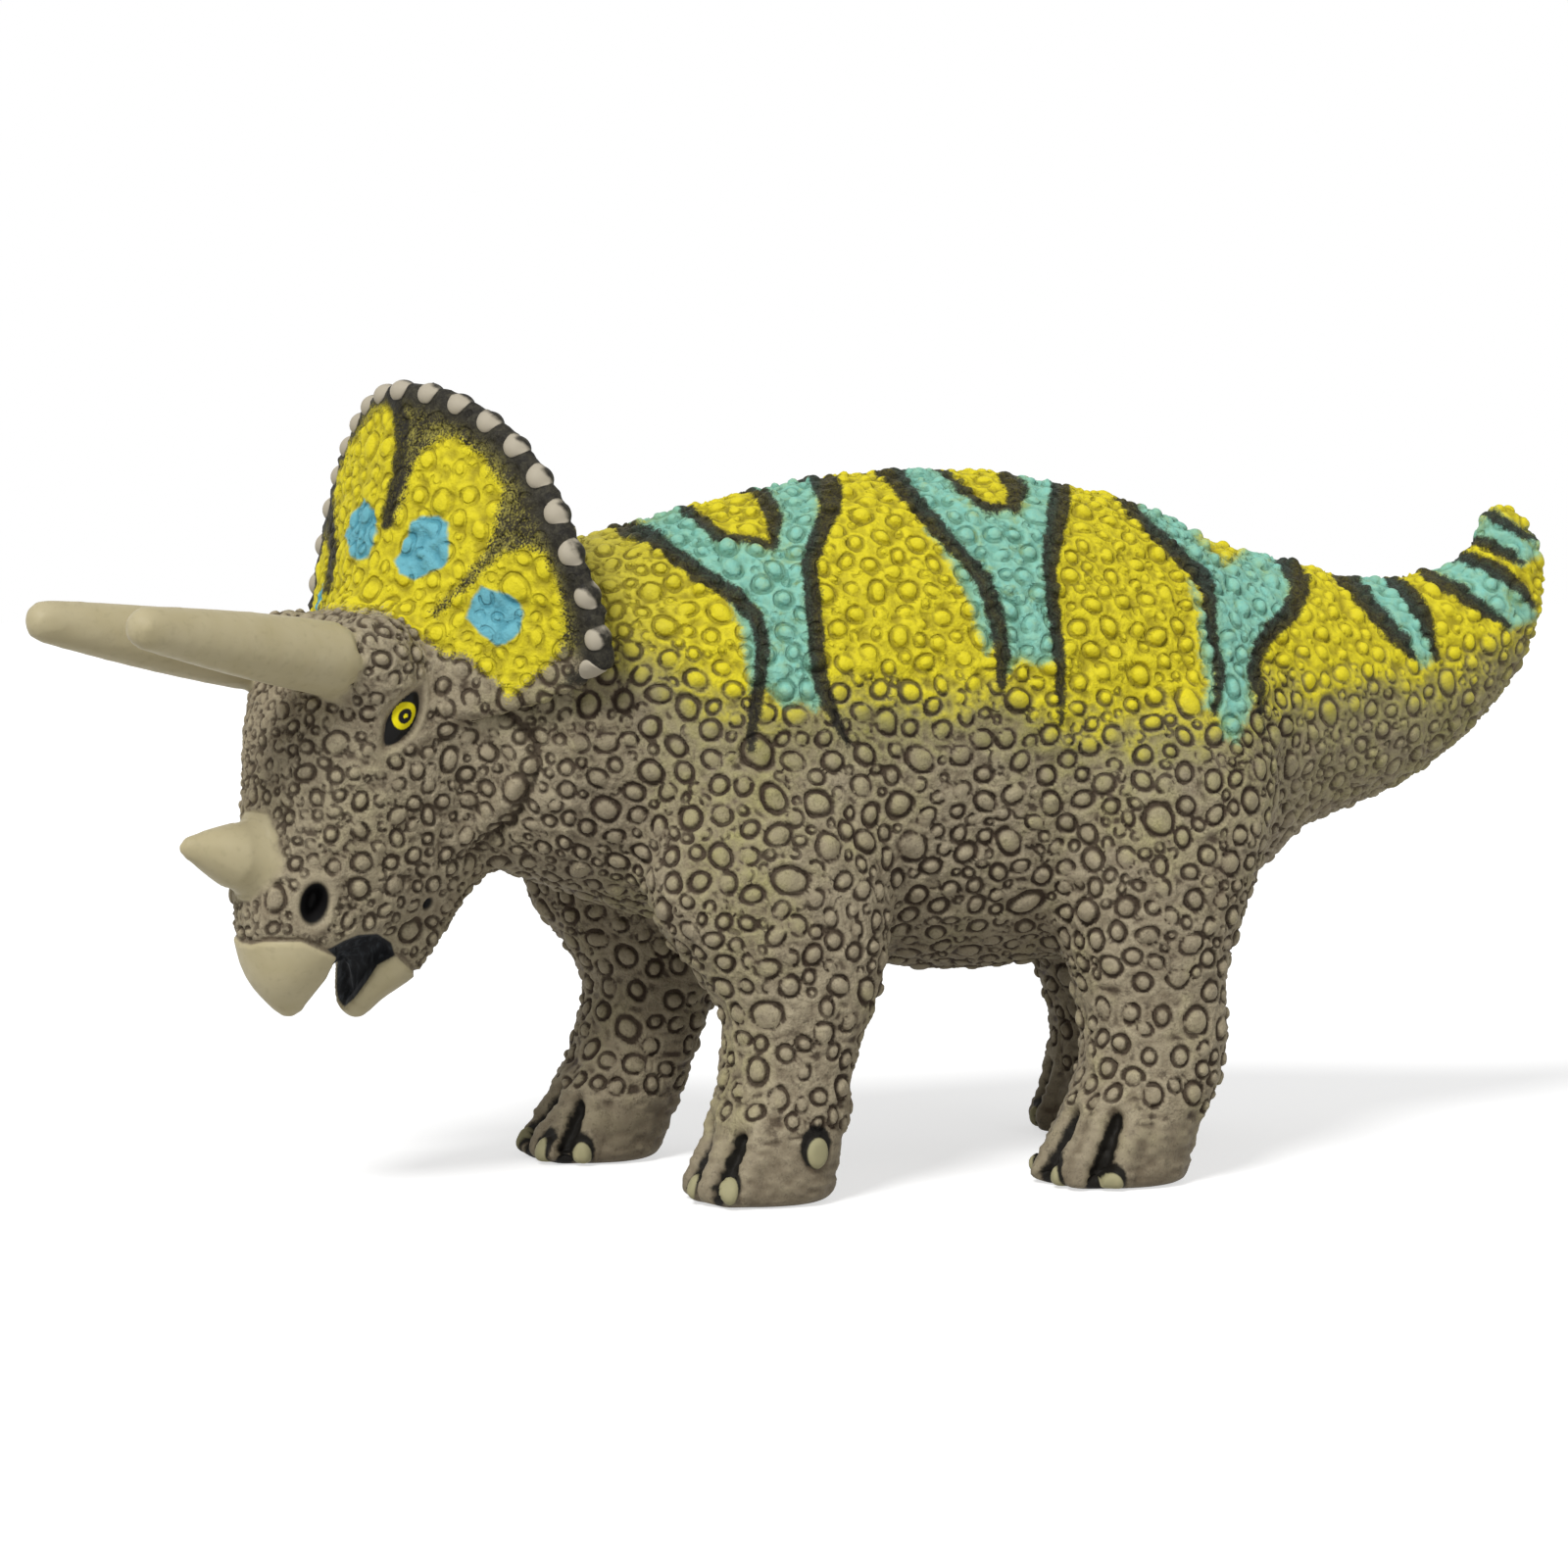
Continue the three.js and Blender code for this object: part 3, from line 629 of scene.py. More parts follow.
FRILL_BLUE = [
    [(410, 560), (414, 545), (420, 531), (432, 527), (446, 526), (459, 534), (458, 552), (459, 568)]
    + [(450, 580), (436, 585), (423, 593), (411, 586), (403, 572)],
    [(475, 630), (481, 612), (492, 598), (506, 603), (522, 606), (535, 624), (531, 645), (520, 655)]
    + [(508, 660), (492, 648)],
    [(373, 509), (383, 522), (384, 545), (373, 570), (363, 572), (358, 557), (351, 547), (363, 518)],
]
FRILL_RAYS = [
    [(400, 400, 13), (409, 430, 14), (411, 457, 12), (406, 488, 13), (399, 515, 11), (394, 536, 9)],
    [(340, 470, 4), (338, 510, 7), (341, 560, 9), (335, 605, 5)],
]
print("outlines on the frill:", len(FRILL_YELLOW) + len(FRILL_BLUE), "and rays:", len(FRILL_RAYS))

# %% [markdown]
# ## The frill's shape and its knobs
# The frill is half an ellipse above its middle and a flatter one below. It leans back, and curls back
# toward its sides. The same few sizes place the knobs, which sit at even angles round the rim, and
# tell how near the rim each point of the skin lies.

# %% Knob places
FRILL_WIDTH_HALF = 33.0
FRILL_RISE = 34.5
FRILL_DROP = 13.0
FRILL_LEAN = math.tan(math.radians(11))
FRILL_CURL = 12.0
CURL_POWER = 1.4
FRILL_CENTRE = np.array([3.5, 0, 3.1])
KNOB_ANGLES = np.radians([-17, *np.linspace(0.9, 179.1, 19), 197])
KNOB_AHEAD = 0.4


def in_model(places):
    """Places given ahead, to the right and above the head's pivot, in the packed model's frame."""
    places = np.atleast_2d(places)
    aside = places[:, 1:2] * head_right
    return HEAD_PIVOT - places[:, :1] * head_back + aside + places[:, 2:] * [0, 0, 1]


def frill_back(across, rise):
    """How far the frill lies behind its middle, at a share of its half width and at a height."""
    return FRILL_CURL * np.abs(across) ** CURL_POWER + np.maximum(rise, 0) * FRILL_LEAN


knob_across = np.cos(KNOB_ANGLES)
knob_rise = np.sin(KNOB_ANGLES) * np.where(np.sin(KNOB_ANGLES) > 0, FRILL_RISE, FRILL_DROP)
knob_out = knob_across * FRILL_WIDTH_HALF
knob_flare = toward_corner(knob_out, knob_rise + FRILL_CENTRE[2])
knob_back = frill_back(knob_across, knob_rise)
knob_back += np.where(knob_across < 0, FLARE_NEAR, FLARE_FAR) * knob_flare
knobs = in_model(FRILL_CENTRE + np.stack([KNOB_AHEAD - knob_back, knob_out, knob_rise], axis=1))
print("knobs:", len(knobs))

# %% [markdown]
# ## Paint on the frill
# Only the front is painted. It also takes in the strip of the head that the frill grows out of. Points
# beyond the far ray are seen where their mirror places are, so that the far outer lobe comes from the
# near one. The rim's dark paint fades out below the frill's middle.

# %% The frill's butterfly
FRILL_RIM = 0.95
RIM_FADE = (-9, -5)
GROUND_FADE = (-4, 1)
FRONT_FACING = 0.15
RIM_FACING = 0.8
HEAD_AHEAD = 8
FAR_RAY_MARGIN = 4

frill_rise = head_place[:, 2] - FRILL_CENTRE[2]
frill_up = frill_rise / np.where(frill_rise > 0, FRILL_RISE, FRILL_DROP)
frill_radius = np.hypot(head_place[:, 1] / FRILL_WIDTH_HALF, frill_up)
on_frill = owned_by("frill")
frill_ahead = FRILL_CENTRE[0] - frill_back(head_place[:, 1] / FRILL_WIDTH_HALF, frill_rise) - flare
before_frill = (head_place[:, 0] > frill_ahead - 1) & (head_place[:, 0] < HEAD_AHEAD)
facing_back = base_normals @ head_back
frill_front = (on_frill | (owned_by("head") & before_frill)) & (facing_back < FRONT_FACING)
seen_direct = in_photo(base)
ray_across, ray_down = np.array(FRILL_FAR_RAY, float).T
past_ray = seen_direct[:, 0] < np.interp(seen_direct[:, 1], ray_down, ray_across) - FAR_RAY_MARGIN
frill_seen = np.where(past_ray[:, None], seen, seen_direct)
frill_yellow = np.where(frill_front, depth_in_outlines(frill_seen, FRILL_YELLOW), -PAINT_REACH)
blue_depth = np.where(on_frill & frill_front, depth_in_outlines(frill_seen, FRILL_BLUE), -PAINT_REACH)
frill_ray = np.where(on_frill & frill_front, depth_in_strokes(seen_direct, FRILL_RAYS), -PAINT_REACH)
rim_reach = np.interp(frill_rise, RIM_FADE, (-PAINT_REACH, 0))
rim_depth = (frill_radius - FRILL_RIM) * FRILL_WIDTH_HALF + rim_reach
rim_depth = np.where(on_frill & (facing_back < RIM_FACING), rim_depth, -PAINT_REACH)
frill_ground = on_frill * frill_front * np.interp(frill_rise, GROUND_FADE, (0, 1))
black_depth = np.maximum(black_depth, frill_ray)
print("points on the frill:", on_frill.sum(), "of them yellow:", (frill_yellow > 0).sum())

# %% [markdown]
# ## Face and feet
# The face is modelled before the scales, because scales keep clear of it. A feature's place is found by
# looking through its pixel and seeing where that line meets the skin. From there each feature is an
# oval on the surface: its depth inside that oval drives both its shape and its paint. The right side
# gets the same features at the mirror places.

# %% Find places on the skin
finder = BVHTree.FromPolygons([Vector(point) for point in base], quads.tolist())
tree = KDTree(len(base))
for index, point in enumerate(base):
    tree.insert(point, index)
tree.balance()


def hit(pixel):
    """The point of the skin that a pixel shows, or else the point seen nearest to that pixel."""
    place, *_ = finder.ray_cast(Vector(eye), line_of_sight(pixel))
    if place is None:
        place = base[np.linalg.norm(seen_direct - pixel, axis=1).argmin()]
    return np.array(place)


def mirrored_head(place):
    """The mirror place on the other side of the head."""
    depth = (place - HEAD_PIVOT) @ head_right
    return place - 2 * depth * head_right


def near_points(place, reach):
    found = tree.find_range(place, reach)
    return np.array([index for _, index, _ in found], int)


def oval(place, half_width, half_height, tilt=0.0, reach=1.0):
    """Points near a place, and for each of them how far across and up it is in half widths."""
    normal = base_normals[tree.find(place)[1]]
    for _ in range(2):
        near = near_points(place, max(half_width, half_height))
        normal = base_normals[near].mean(0)
        normal /= np.linalg.norm(normal)
    across = np.cross([0, 0, 1], normal)
    across /= np.linalg.norm(across)
    up = np.cross(normal, across)
    across, up = (
        math.cos(tilt) * across + math.sin(tilt) * up,
        math.cos(tilt) * up - math.sin(tilt) * across,
    )
    near = near_points(place, max(half_width, half_height) * 1.3 + reach)
    near = near[base_normals[near] @ normal > 0]
    offset = base[near] - place
    return near, offset @ across / half_width, offset @ up / half_height


def oval_depth(near, u, v, half_size):
    """About how far inside an oval each of its points lies, in millimetres."""
    return (1 - np.hypot(u, v)) * half_size


def bump(value, width):
    """A round hump, one where the value is zero."""
    return np.exp(-((value / width) ** 2))


print("the photograph's middle shows the point", hit((PHOTO_SIZE / 2, PHOTO_SIZE / 2)).round(1))

# %% [markdown]
# ## Eyes and nostrils
# The eye is a low glossy dome in an almond of black paint, with a groove at the almond's edge and a lid
# raised round it. Its iris is yellow, with a black pupil that has a yellow dot in it. The nostril is a
# deep oval hole with a smooth rim, and a small pit lies further back on the snout.

# %% Model the eyes and nostrils
EYE_PIXEL = (411, 734)
EYE_SIZE = (1.9, 4.3)
EYE_TILT = math.radians(-31)
IRIS_PIXEL = (412, 730)
IRIS_SIZE = (1.85, 2.3)
EYE_DOME = 0.7
EYE_GROOVE = 0.45
LID_RISE = 0.3
BROW_RISE = 0.15
IRIS_FAR = 9.0
NOSTRIL_PIXEL = (321, 922)
NOSTRIL_SIZE = (2.0, 3.0)
NOSTRIL_TILT = math.radians(-12)
NOSTRIL_DEPTH = 3.2
NOSTRIL_RIM = 0.35
PIT_PIXEL = (437, 923)
PIT_SIZE = (0.8, 1.0)
PIT_DEPTH = 0.8

count = len(base)
relief = np.zeros(count)
eye_depth = np.full(count, -PAINT_REACH)
iris_reach = np.full(count, IRIS_FAR)
nostril_depth = np.full(count, -PAINT_REACH)


def both_sides(pixel):
    place = hit(pixel)
    return [(place, 1), (mirrored_head(place), -1)]


for place, side in both_sides(EYE_PIXEL):
    near, u, v = oval(place, *EYE_SIZE, side * EYE_TILT, reach=4)
    width = np.where(v < 0, 1 - 0.35 * v * v, 1 - 0.25 * v * v).clip(0.3, 1)
    eye_depth[near] = np.maximum(eye_depth[near], oval_depth(near, u / width, v, EYE_SIZE[0]))
for place, side in both_sides(IRIS_PIXEL):
    near, u, v = oval(place, *IRIS_SIZE, side * EYE_TILT, reach=3)
    iris_reach[near] = np.minimum(iris_reach[near], u * u + v * v)
for place, side in both_sides(NOSTRIL_PIXEL):
    near, u, v = oval(place, *NOSTRIL_SIZE, side * NOSTRIL_TILT, reach=3)
    nostril_depth[near] = np.maximum(nostril_depth[near], oval_depth(near, u, v, NOSTRIL_SIZE[0]))

relief += EYE_DOME * step_up(eye_depth, -0.1, 1.8) - EYE_GROOVE * bump(eye_depth, 0.35)
relief += LID_RISE * bump(eye_depth + 0.9, 0.55) + BROW_RISE * bump(eye_depth + 2.2, 0.5)
relief += NOSTRIL_RIM * bump(nostril_depth + 0.7, 0.6)
relief -= NOSTRIL_DEPTH * step_up(nostril_depth, -0.1, 1.3)
for place, side in both_sides(PIT_PIXEL):
    near, u, v = oval(place, *PIT_SIZE)
    pit_depth = oval_depth(near, u, v, PIT_SIZE[0])
    nostril_depth[near] = np.maximum(nostril_depth[near], pit_depth)
    relief[near] -= PIT_DEPTH * step_up(pit_depth, -0.3, 0.6)
print("points on the eyes:", (eye_depth > 0).sum(), "and in the nostrils:", (nostril_depth > 0).sum())

# %% [markdown]
# ## Beaks, mouth and cheek
# The two beaks are smooth horn, slightly proud of the skin with a crisp edge. Between them the mouth is
# sunk and painted black, with a wrinkled tongue. A fold of skin closes the cheek at the back. The foot
# of the nose horn is drawn tight, as a soap film would be, so that it flares into the snout.

# %% Model the mouth and cheek
UPPER_BEAK = [
    [(235, 958), (256, 964), (270, 961), (308, 961), (343, 977), (332, 998), (312, 1023), (297, 1045)]
    + [(270, 1040), (235, 1000)]
]
LOWER_BEAK = [
    [(403, 975), (421, 991), (426, 1010), (400, 1046), (355, 1050), (345, 1034), (362, 1018)]
    + [(374, 1002), (385, 985)]
]
MOUTH = [
    [(335, 969), (351, 960), (366, 954), (385, 953), (399, 962), (403, 975), (385, 985), (374, 1002)]
    + [(362, 1018), (346, 1032), (330, 1024), (332, 997), (343, 977)]
]
NOSE_HORN = [
    [(170, 850), (192, 832), (251, 826), (273, 832), (283, 853), (281, 880), (267, 902), (254, 918)]
    + [(240, 920), (200, 890)]
]
HORN_FOOT = 3.0
HORN_FOOT_ROUNDS = 60
HORN_AHEAD = 14
NOSE_RISE = 0.2
BEAK_RISE = 0.4
BEAK_GROOVE = 0.3
MOUTH_SINK = 1.9
FOLD_HEIGHT = 0.9
CHEEK_FOLD = [(478, 716), (512, 722), (546, 752), (549, 787), (526, 833), (478, 872)]
CHEEK_RIDGE = [(480, 730), (508, 738), (533, 760), (534, 787), (512, 824), (470, 858)]

on_head = owned_by("head", "lower_jaw")
horn_columns = np.isin(np.arange(len(node_names)), [node_names.index(name) for name in horn_nodes])
horn_depth = depths[:, ~horn_columns].min(axis=1) - depths[:, horn_columns].min(axis=1)
horn_depth = np.clip(horn_depth, -PAINT_REACH, PAINT_REACH)


def on_face(depth):
    return np.where(on_head, depth, -PAINT_REACH)


upper_beak = on_face(depth_in_outlines(seen, UPPER_BEAK))
lower_beak = on_face(depth_in_outlines(seen, LOWER_BEAK))
beak_depth = np.maximum(upper_beak, lower_beak)
mouth_depth = on_face(depth_in_outlines(seen, MOUTH))
nose_depth = on_face(depth_in_outlines(seen, NOSE_HORN))
nose_depth = np.where(head_place[:, 0] > HORN_AHEAD, nose_depth, -PAINT_REACH)
fold_gap, ridge_gap = (
    on_face(depth_in_strokes(seen, [[(*pixel, 0) for pixel in line]]))
    for line in (CHEEK_FOLD, CHEEK_RIDGE)
)
nose_foot = (nose_depth > 0.2) | (owned_by("nose_horn") & (horn_depth < HORN_FOOT))
foot_edges = edges[nose_foot[edges].any(axis=1)]
for _ in range(HORN_FOOT_ROUNDS):
    base[nose_foot] = neighbour_mean(base, foot_edges)[nose_foot]
base_normals = normals_of(base, quads)
relief += NOSE_RISE * step_up(nose_depth, -0.1, 0.3)
horn_depth = np.maximum(horn_depth, nose_depth * 2)
relief += BEAK_RISE * step_up(beak_depth, -0.15, 0.25) - BEAK_GROOVE * bump(beak_depth + 0.35, 0.3)
relief -= MOUTH_SINK * step_up(mouth_depth, 0.1, 1.5)
relief += FOLD_HEIGHT * bump(ridge_gap, 1.8) - FOLD_HEIGHT * bump(fold_gap, 0.8)
print("points on the beaks:", (beak_depth > 0).sum(), "and in the mouth:", (mouth_depth > 0).sum())

# %% [markdown]
# ## Toes and nails
# The feet are creased between the toes, and each toe ends in a flat pale nail with black paint above
# it and on its front side. The same nails and creases go on the right feet, which stand a little
# further forward or back. The right front foot shows its inner side too, so that side is read off
# the photograph as well.

# %% Nails and creases
FRONT_NAILS = [((708, 1210), (0.95, 1.75)), ((743, 1214), (1.35, 1.9)), ((835, 1177), (1.8, 2.2))]
HIND_NAILS = [((1051, 1191), (0.9, 1.55)), ((1080, 1204), (1.25, 1.8)), ((1134, 1208), (1.65, 1.55))]
FAR_FRONT_NAILS = [((554, 1176), (1.3, 1.8)), ((594, 1178), (1.4, 1.7))]
FRONT_CREASES = [[(726, 1150), (714, 1190), (698, 1222)], [(754, 1162), (743, 1193), (729, 1228)]]
HIND_CREASES = [[(1095, 1140), (1083, 1165), (1065, 1202)], [(1138, 1140), (1130, 1172), (1116, 1212)]]
FAR_FRONT_CREASES = [[(589, 1130), (581, 1157), (573, 1188)]]
FEET = [
    ("front_left_leg", "front_right_leg", FRONT_NAILS, FRONT_CREASES),
    ("hind_left_leg", "hind_right_leg", HIND_NAILS, HIND_CREASES),
    ("front_right_leg", None, FAR_FRONT_NAILS, FAR_FRONT_CREASES),
]
FOOT_HEIGHT = 12
CREASE_SPREAD = 0.55
CREASE_REACH = 5
NAIL_BLACK = 1.4

nail_depth = np.full(count, -PAINT_REACH)
nail_shadow = np.full(count, -PAINT_REACH)
crease_gap = np.full(count, PAINT_REACH)


def foot_middle(leg):
    foot = base[owned_by(leg) & (base[:, 2] < FOOT_HEIGHT)]
    return (foot.min(0) + foot.max(0)) / 2


def other_foot(place, leg, other):
    """The mirror place on the other foot, moved to its surface."""
    offset = place - foot_middle(leg)
    there = foot_middle(other) + offset * [1, -1, 1]
    return base[tree.find(there)[1]]


def add_nail(place, half_width, half_height, side):
    """A nail, and the black above it and on its front side."""
    near, u, v = oval(place, half_width, half_height, reach=3)
    nail_depth[near] = np.maximum(nail_depth[near], oval_depth(near, u, v, half_width))
    aside, above = (side * u + 0.12) / NAIL_BLACK, (v - 0.4) / NAIL_BLACK
    around = oval_depth(near, aside, above, half_width * NAIL_BLACK)
    nail_shadow[near] = np.maximum(nail_shadow[near], around)


def add_crease(places):
    """A groove along a run of places, wider toward the ground."""
    for start, end in zip(places[:-1], places[1:]):
        for share in np.linspace(0, 1, 12):
            place = base[tree.find(start + share * (end - start))[1]]
            near = near_points(place, CREASE_REACH)
            spread = CREASE_SPREAD * step_up(place[2], 15, 5)
            gap = np.linalg.norm(base[near] - place, axis=1) - spread
            crease_gap[near] = np.minimum(crease_gap[near], gap)


print("feet with nails:", len(FEET), "of them with a mirror foot:", sum(bool(foot[1]) for foot in FEET))

# %% [markdown]
# ## Shape the toes
# Each nail and crease goes where its pixel meets the foot, and then on the other foot. Toes swell on
# both sides of a crease, and a fine groove runs round each nail.

# %% Shape the toes
CREASE_DEPTH = 1.9
CREASE_WIDTH = 0.8
CREASE_PAINT = 0.75
TOE_RISE = 0.6
TOE_AWAY = 2.6
NAIL_RISE = 0.5
NAIL_GROOVE = 0.35

for leg, other, nails, creases in FEET:
    for pixel, size in nails:
        place = hit(pixel)
        add_nail(place, *size, 1)
        if other:
            add_nail(other_foot(place, leg, other), *size, -1)
    for crease in creases:
        places = [hit(pixel) for pixel in crease]
        add_crease(places)
        if other:
            add_crease([other_foot(place, leg, other) for place in places])

crease_gap = np.maximum(crease_gap, 0)
relief -= CREASE_DEPTH * bump(crease_gap, CREASE_WIDTH) * (nail_depth < 0)
relief += TOE_RISE * bump(crease_gap - TOE_AWAY, 1.5)
relief += NAIL_RISE * step_up(nail_depth, -0.2, 0.5) - NAIL_GROOVE * bump(nail_depth + 0.35, 0.3)
crease_paint = CREASE_PAINT - crease_gap
low_on_foot = step_up(base[:, 2], 13, 3)
print("points on the nails:", (nail_depth > 0).sum())

# %% [markdown]
# ## Knobs on the frill's rim
# Each knob is a smooth pale dome on the rim. Points close to a knob's middle are moved to its radius,
# which gives back the roundness that the softening took and leaves a fine groove round its foot. The
# rim of the upper frill is let out a little between the knobs.

# %% Round the knobs
KNOB_SIZE = 2.0
KNOB_REACH = 4.4
KNOB_FLATNESS = 0.85
KNOB_PUSH = (-0.6, 0.7)
RIM_LETOUT = 0.9

outward = head_place[:, 1:2] * head_right + frill_rise[:, None] * [0, 0, 1]
outward /= np.maximum(np.linalg.norm(outward, axis=1), 1)[:, None]
knob_depth = np.full(count, -PAINT_REACH)
knob_aside = np.full(count, PAINT_REACH)
for knob in knobs:
    near = near_points(knob, KNOB_REACH)
    offset = base[near] - knob
    out, back = np.einsum("ij,ij->i", offset, outward[near]), offset @ head_back
    square = np.sum(offset**2, axis=1)
    aside = np.sqrt(np.maximum(square - out**2 - back**2, 0))
    knob_aside[near] = np.minimum(knob_aside[near], aside)
    distance = np.sqrt(square + out**2 * (KNOB_FLATNESS**-2 - 1))
    push = (KNOB_SIZE - distance) * step_up(distance, KNOB_SIZE + 0.9, KNOB_SIZE + 0.4)
    base[near] += offset / distance[:, None] * push.clip(*KNOB_PUSH)[:, None]
    within_knob = KNOB_SIZE + 0.1 - np.maximum(distance, KNOB_SIZE - 1)
    knob_depth[near] = np.maximum(knob_depth[near], within_knob)
letout = RIM_LETOUT * step_up(frill_radius, 0.93, 1.0) * step_up(knob_aside, 1.2, 2.4) * on_frill
base += outward * (letout * step_up(frill_rise, 0, 4))[:, None]
print("points on the knobs:", (knob_depth > 0).sum())

# %% [markdown]
# ## Thousands of ringed scales
# The sculptor pressed scales of many sizes into the master, each a low dome in a ring-shaped groove.
# They never line up, and many rings are open on one side or run into the next one. The same look comes
# from throwing darts: the largest scales are placed first wherever they fit, then smaller and smaller
# ones in the gaps. A seeded generator throws the same darts on every run. Horns, beaks, eyes, nails
# and knobs have none. The scales are smaller on the sprayed back, the tail and the feet, smaller still
# on the face, and smallest on the snout.

# %% How large the scales are
HEAD_SCALES = 0.8
FRILL_SCALES = 0.95
SNOUT_SCALES = 0.64
FOOT_SCALES = 0.9
BACK_SCALES = 0.88
TAIL_SCALES = 0.85
SNOUT_START = (13, 21)
FOOT_START = (34, 14)
SOLE_HEIGHT = 9

scale_size = np.ones(count)
scale_size -= (1 - BACK_SCALES) * step_up(yellow_depth, -2, 2)
scale_size = np.where(owned_by("tail"), TAIL_SCALES, scale_size)
scale_size = np.where(on_frill, FRILL_SCALES, scale_size)
scale_size = np.where(on_head, HEAD_SCALES, scale_size)
snout = step_up(head_place[:, 0], *SNOUT_START) * on_head
scale_size += (SNOUT_SCALES - scale_size) * snout
on_legs = owned_by(*leg_nodes)
scale_size -= (1 - FOOT_SCALES) * step_up(base[:, 2], *FOOT_START) * on_legs
# Each smooth feature is listed with the width of bare skin round it
smooth_depth = np.maximum.reduce(
    [horn_depth + 0.4, beak_depth + 0.5, mouth_depth + 0.4, nostril_depth + 0.8, eye_depth + 1.4]
    + [nail_depth + 0.6, knob_depth + 0.5, rim_depth - 3, 1.2 - crease_gap]
    + [(SOLE_HEIGHT - base[:, 2]) * 0.5]
)
scale_size[smooth_depth > 0] = 0
print("points that may carry a scale:", (scale_size > 0).sum())

# %% [markdown]
# ## Throw the darts
# For each radius a share of the open points is tried in random order. A dart that would come too near
# to an edge or to a scale already placed is dropped. The one large ring beside the nostril is given
# its own place, because it is easily seen in the photograph. The lower legs have no tiny scales.

# %% Throw the darts
SCALE_RADII = [2.6, 2.2, 1.95, 1.75, 1.6, 1.45, 1.3, 1.15, 1.0, 0.85, 0.7]
SCALE_SHARES = [0.02, 0.045, 0.09, 0.2, 0.42, 0.6, 0.7, 0.8, 0.8, 0.8, 0.8]
SCALE_GAP = 0.12
SCALE_REACH = 1.7
LEAST_LEG_SCALE = 1.2
LEG_HEIGHT = 30
MUZZLE_RING_PIXEL = (280, 918)
MUZZLE_RING = 2.0

corners = base[quads]
diagonals = corners[:, 2] - corners[:, 0], corners[:, 3] - corners[:, 1]
square_area = 0.5 * np.linalg.norm(np.cross(*diagonals), axis=1)
area_each = square_area.sum() / count

rng = np.random.default_rng(SEED)
free = np.where(scale_size > 0, np.minimum(FAR, -smooth_depth + 0.3), -FAR)
scales = []


def place_scale(index, size):
    """One dart: its points are kept, and no other scale may come nearer than its edge."""
    found = tree.find_range(base[index], size + SCALE_RADII[0])
    places = np.array([number for _, number, _ in found])
    reach = np.array([distance for _, _, distance in found])
    free[places] = np.minimum(free[places], reach - size)
    scales.append((index, size, places[reach < size * SCALE_REACH + 0.4]))


for place, _ in both_sides(MUZZLE_RING_PIXEL):
    place_scale(tree.find(place)[1], MUZZLE_RING)
for radius, share in zip(SCALE_RADII, SCALE_SHARES):
    radii = radius * scale_size
    gaps = SCALE_GAP * scale_size
    fits = free > radii + gaps
    if radius < LEAST_LEG_SCALE:
        fits &= ~(on_legs & (base[:, 2] < LEG_HEIGHT))
    open_points = np.flatnonzero(fits)
    rng.shuffle(open_points)
    wanted = share * len(open_points) * area_each / (math.pi * radius**2)
    taken = 0
    for index in open_points:
        size = radii[index]
        if free[index] <= size + gaps[index]:
            continue
        place_scale(index, size)
        taken += 1
        if taken > wanted:
            break
print("scales:", len(scales), "on", round(square_area.sum() / 100), "square centimetres")

# %% [markdown]
# ## From scales to shape
# Each scale is a dome inside a groove, with a soft lip outside it. They are a little oval, and nearly
# half of the rings fade out on one side. A point that several scales reach takes the ring nearest to
# it and the highest dome. Waves of value noise, which is random heights on a lattice with smooth
# blends between them, roughen the rings here and give the lumpy skin between the scales later.

# %% Measure the scales
RING_SHARE = 0.82
OVALITY = 0.16
BROKEN_SHARE = 0.46
UNBROKEN = 2.0
RING_FAR = 1.5
GROOVE_HALF_WIDTH = 0.3
WARP = 0.12
LATTICE = 32


def wave(points, size, seed):
    """Smooth random heights between -1 and 1, with lumps of about the given size."""
    heights = np.random.default_rng(seed).uniform(-1, 1, (LATTICE, LATTICE, LATTICE))
    place = points / size
    cell = np.floor(place).astype(int)
    share = place - cell
    share = share * share * (3 - 2 * share)
    total = np.zeros(len(points))
    for corner in np.ndindex(2, 2, 2):
        weight = np.where(corner, share, 1 - share).prod(axis=1)
        total += weight * heights[tuple(((cell + corner) % LATTICE).T)]
    return total


scale_at = np.array([index for index, _, _ in scales])
scale_radius = np.array([size for _, size, _ in scales])
scale_up = base_normals[scale_at]
spin = rng.normal(size=(len(scales), 3))
scale_across = np.cross(scale_up, spin)
scale_across /= np.linalg.norm(scale_across, axis=1)[:, None]
scale_along = np.cross(scale_up, scale_across)
ovality = rng.uniform(-OVALITY, OVALITY, len(scales))
broken = rng.random(len(scales)) < BROKEN_SHARE
open_side = np.where(broken, rng.uniform(-0.6, 0.5, len(scales)), UNBROKEN)
rise = rng.uniform(0.7, 1.3, len(scales))
ring_strength = rng.uniform(0.85, 1.25, len(scales))

which = np.repeat(np.arange(len(scales)), [len(places) for _, _, places in scales])
touched = np.concatenate([places for _, _, places in scales])
offset = base[touched] - base[scale_at[which]]
across = np.einsum("ij,ij->i", offset, scale_across[which]) * (1 + ovality[which])
along = np.einsum("ij,ij->i", offset, scale_along[which]) * (1 - ovality[which])
above = np.einsum("ij,ij->i", offset, scale_up[which])
from_middle = np.sqrt(across**2 + along**2 + (0.6 * above) ** 2)
from_middle *= 1 + WARP * wave(base[touched], 1.6, 21)
radius = scale_radius[which]
turned = along / np.maximum(np.hypot(across, along), 1e-6)
ring_power = ring_strength[which] * np.sqrt(radius / 1.6) * (1 + 0.32 * turned)
ring_power *= 1 - 0.8 * step_up(turned - open_side[which], 0, 0.5)
facing = np.einsum("ij,ij->i", base_normals[touched], scale_up[which]) > 0.2
ring_gap = np.where(facing, np.clip(from_middle - RING_SHARE * radius, -RING_FAR, RING_FAR), RING_FAR)
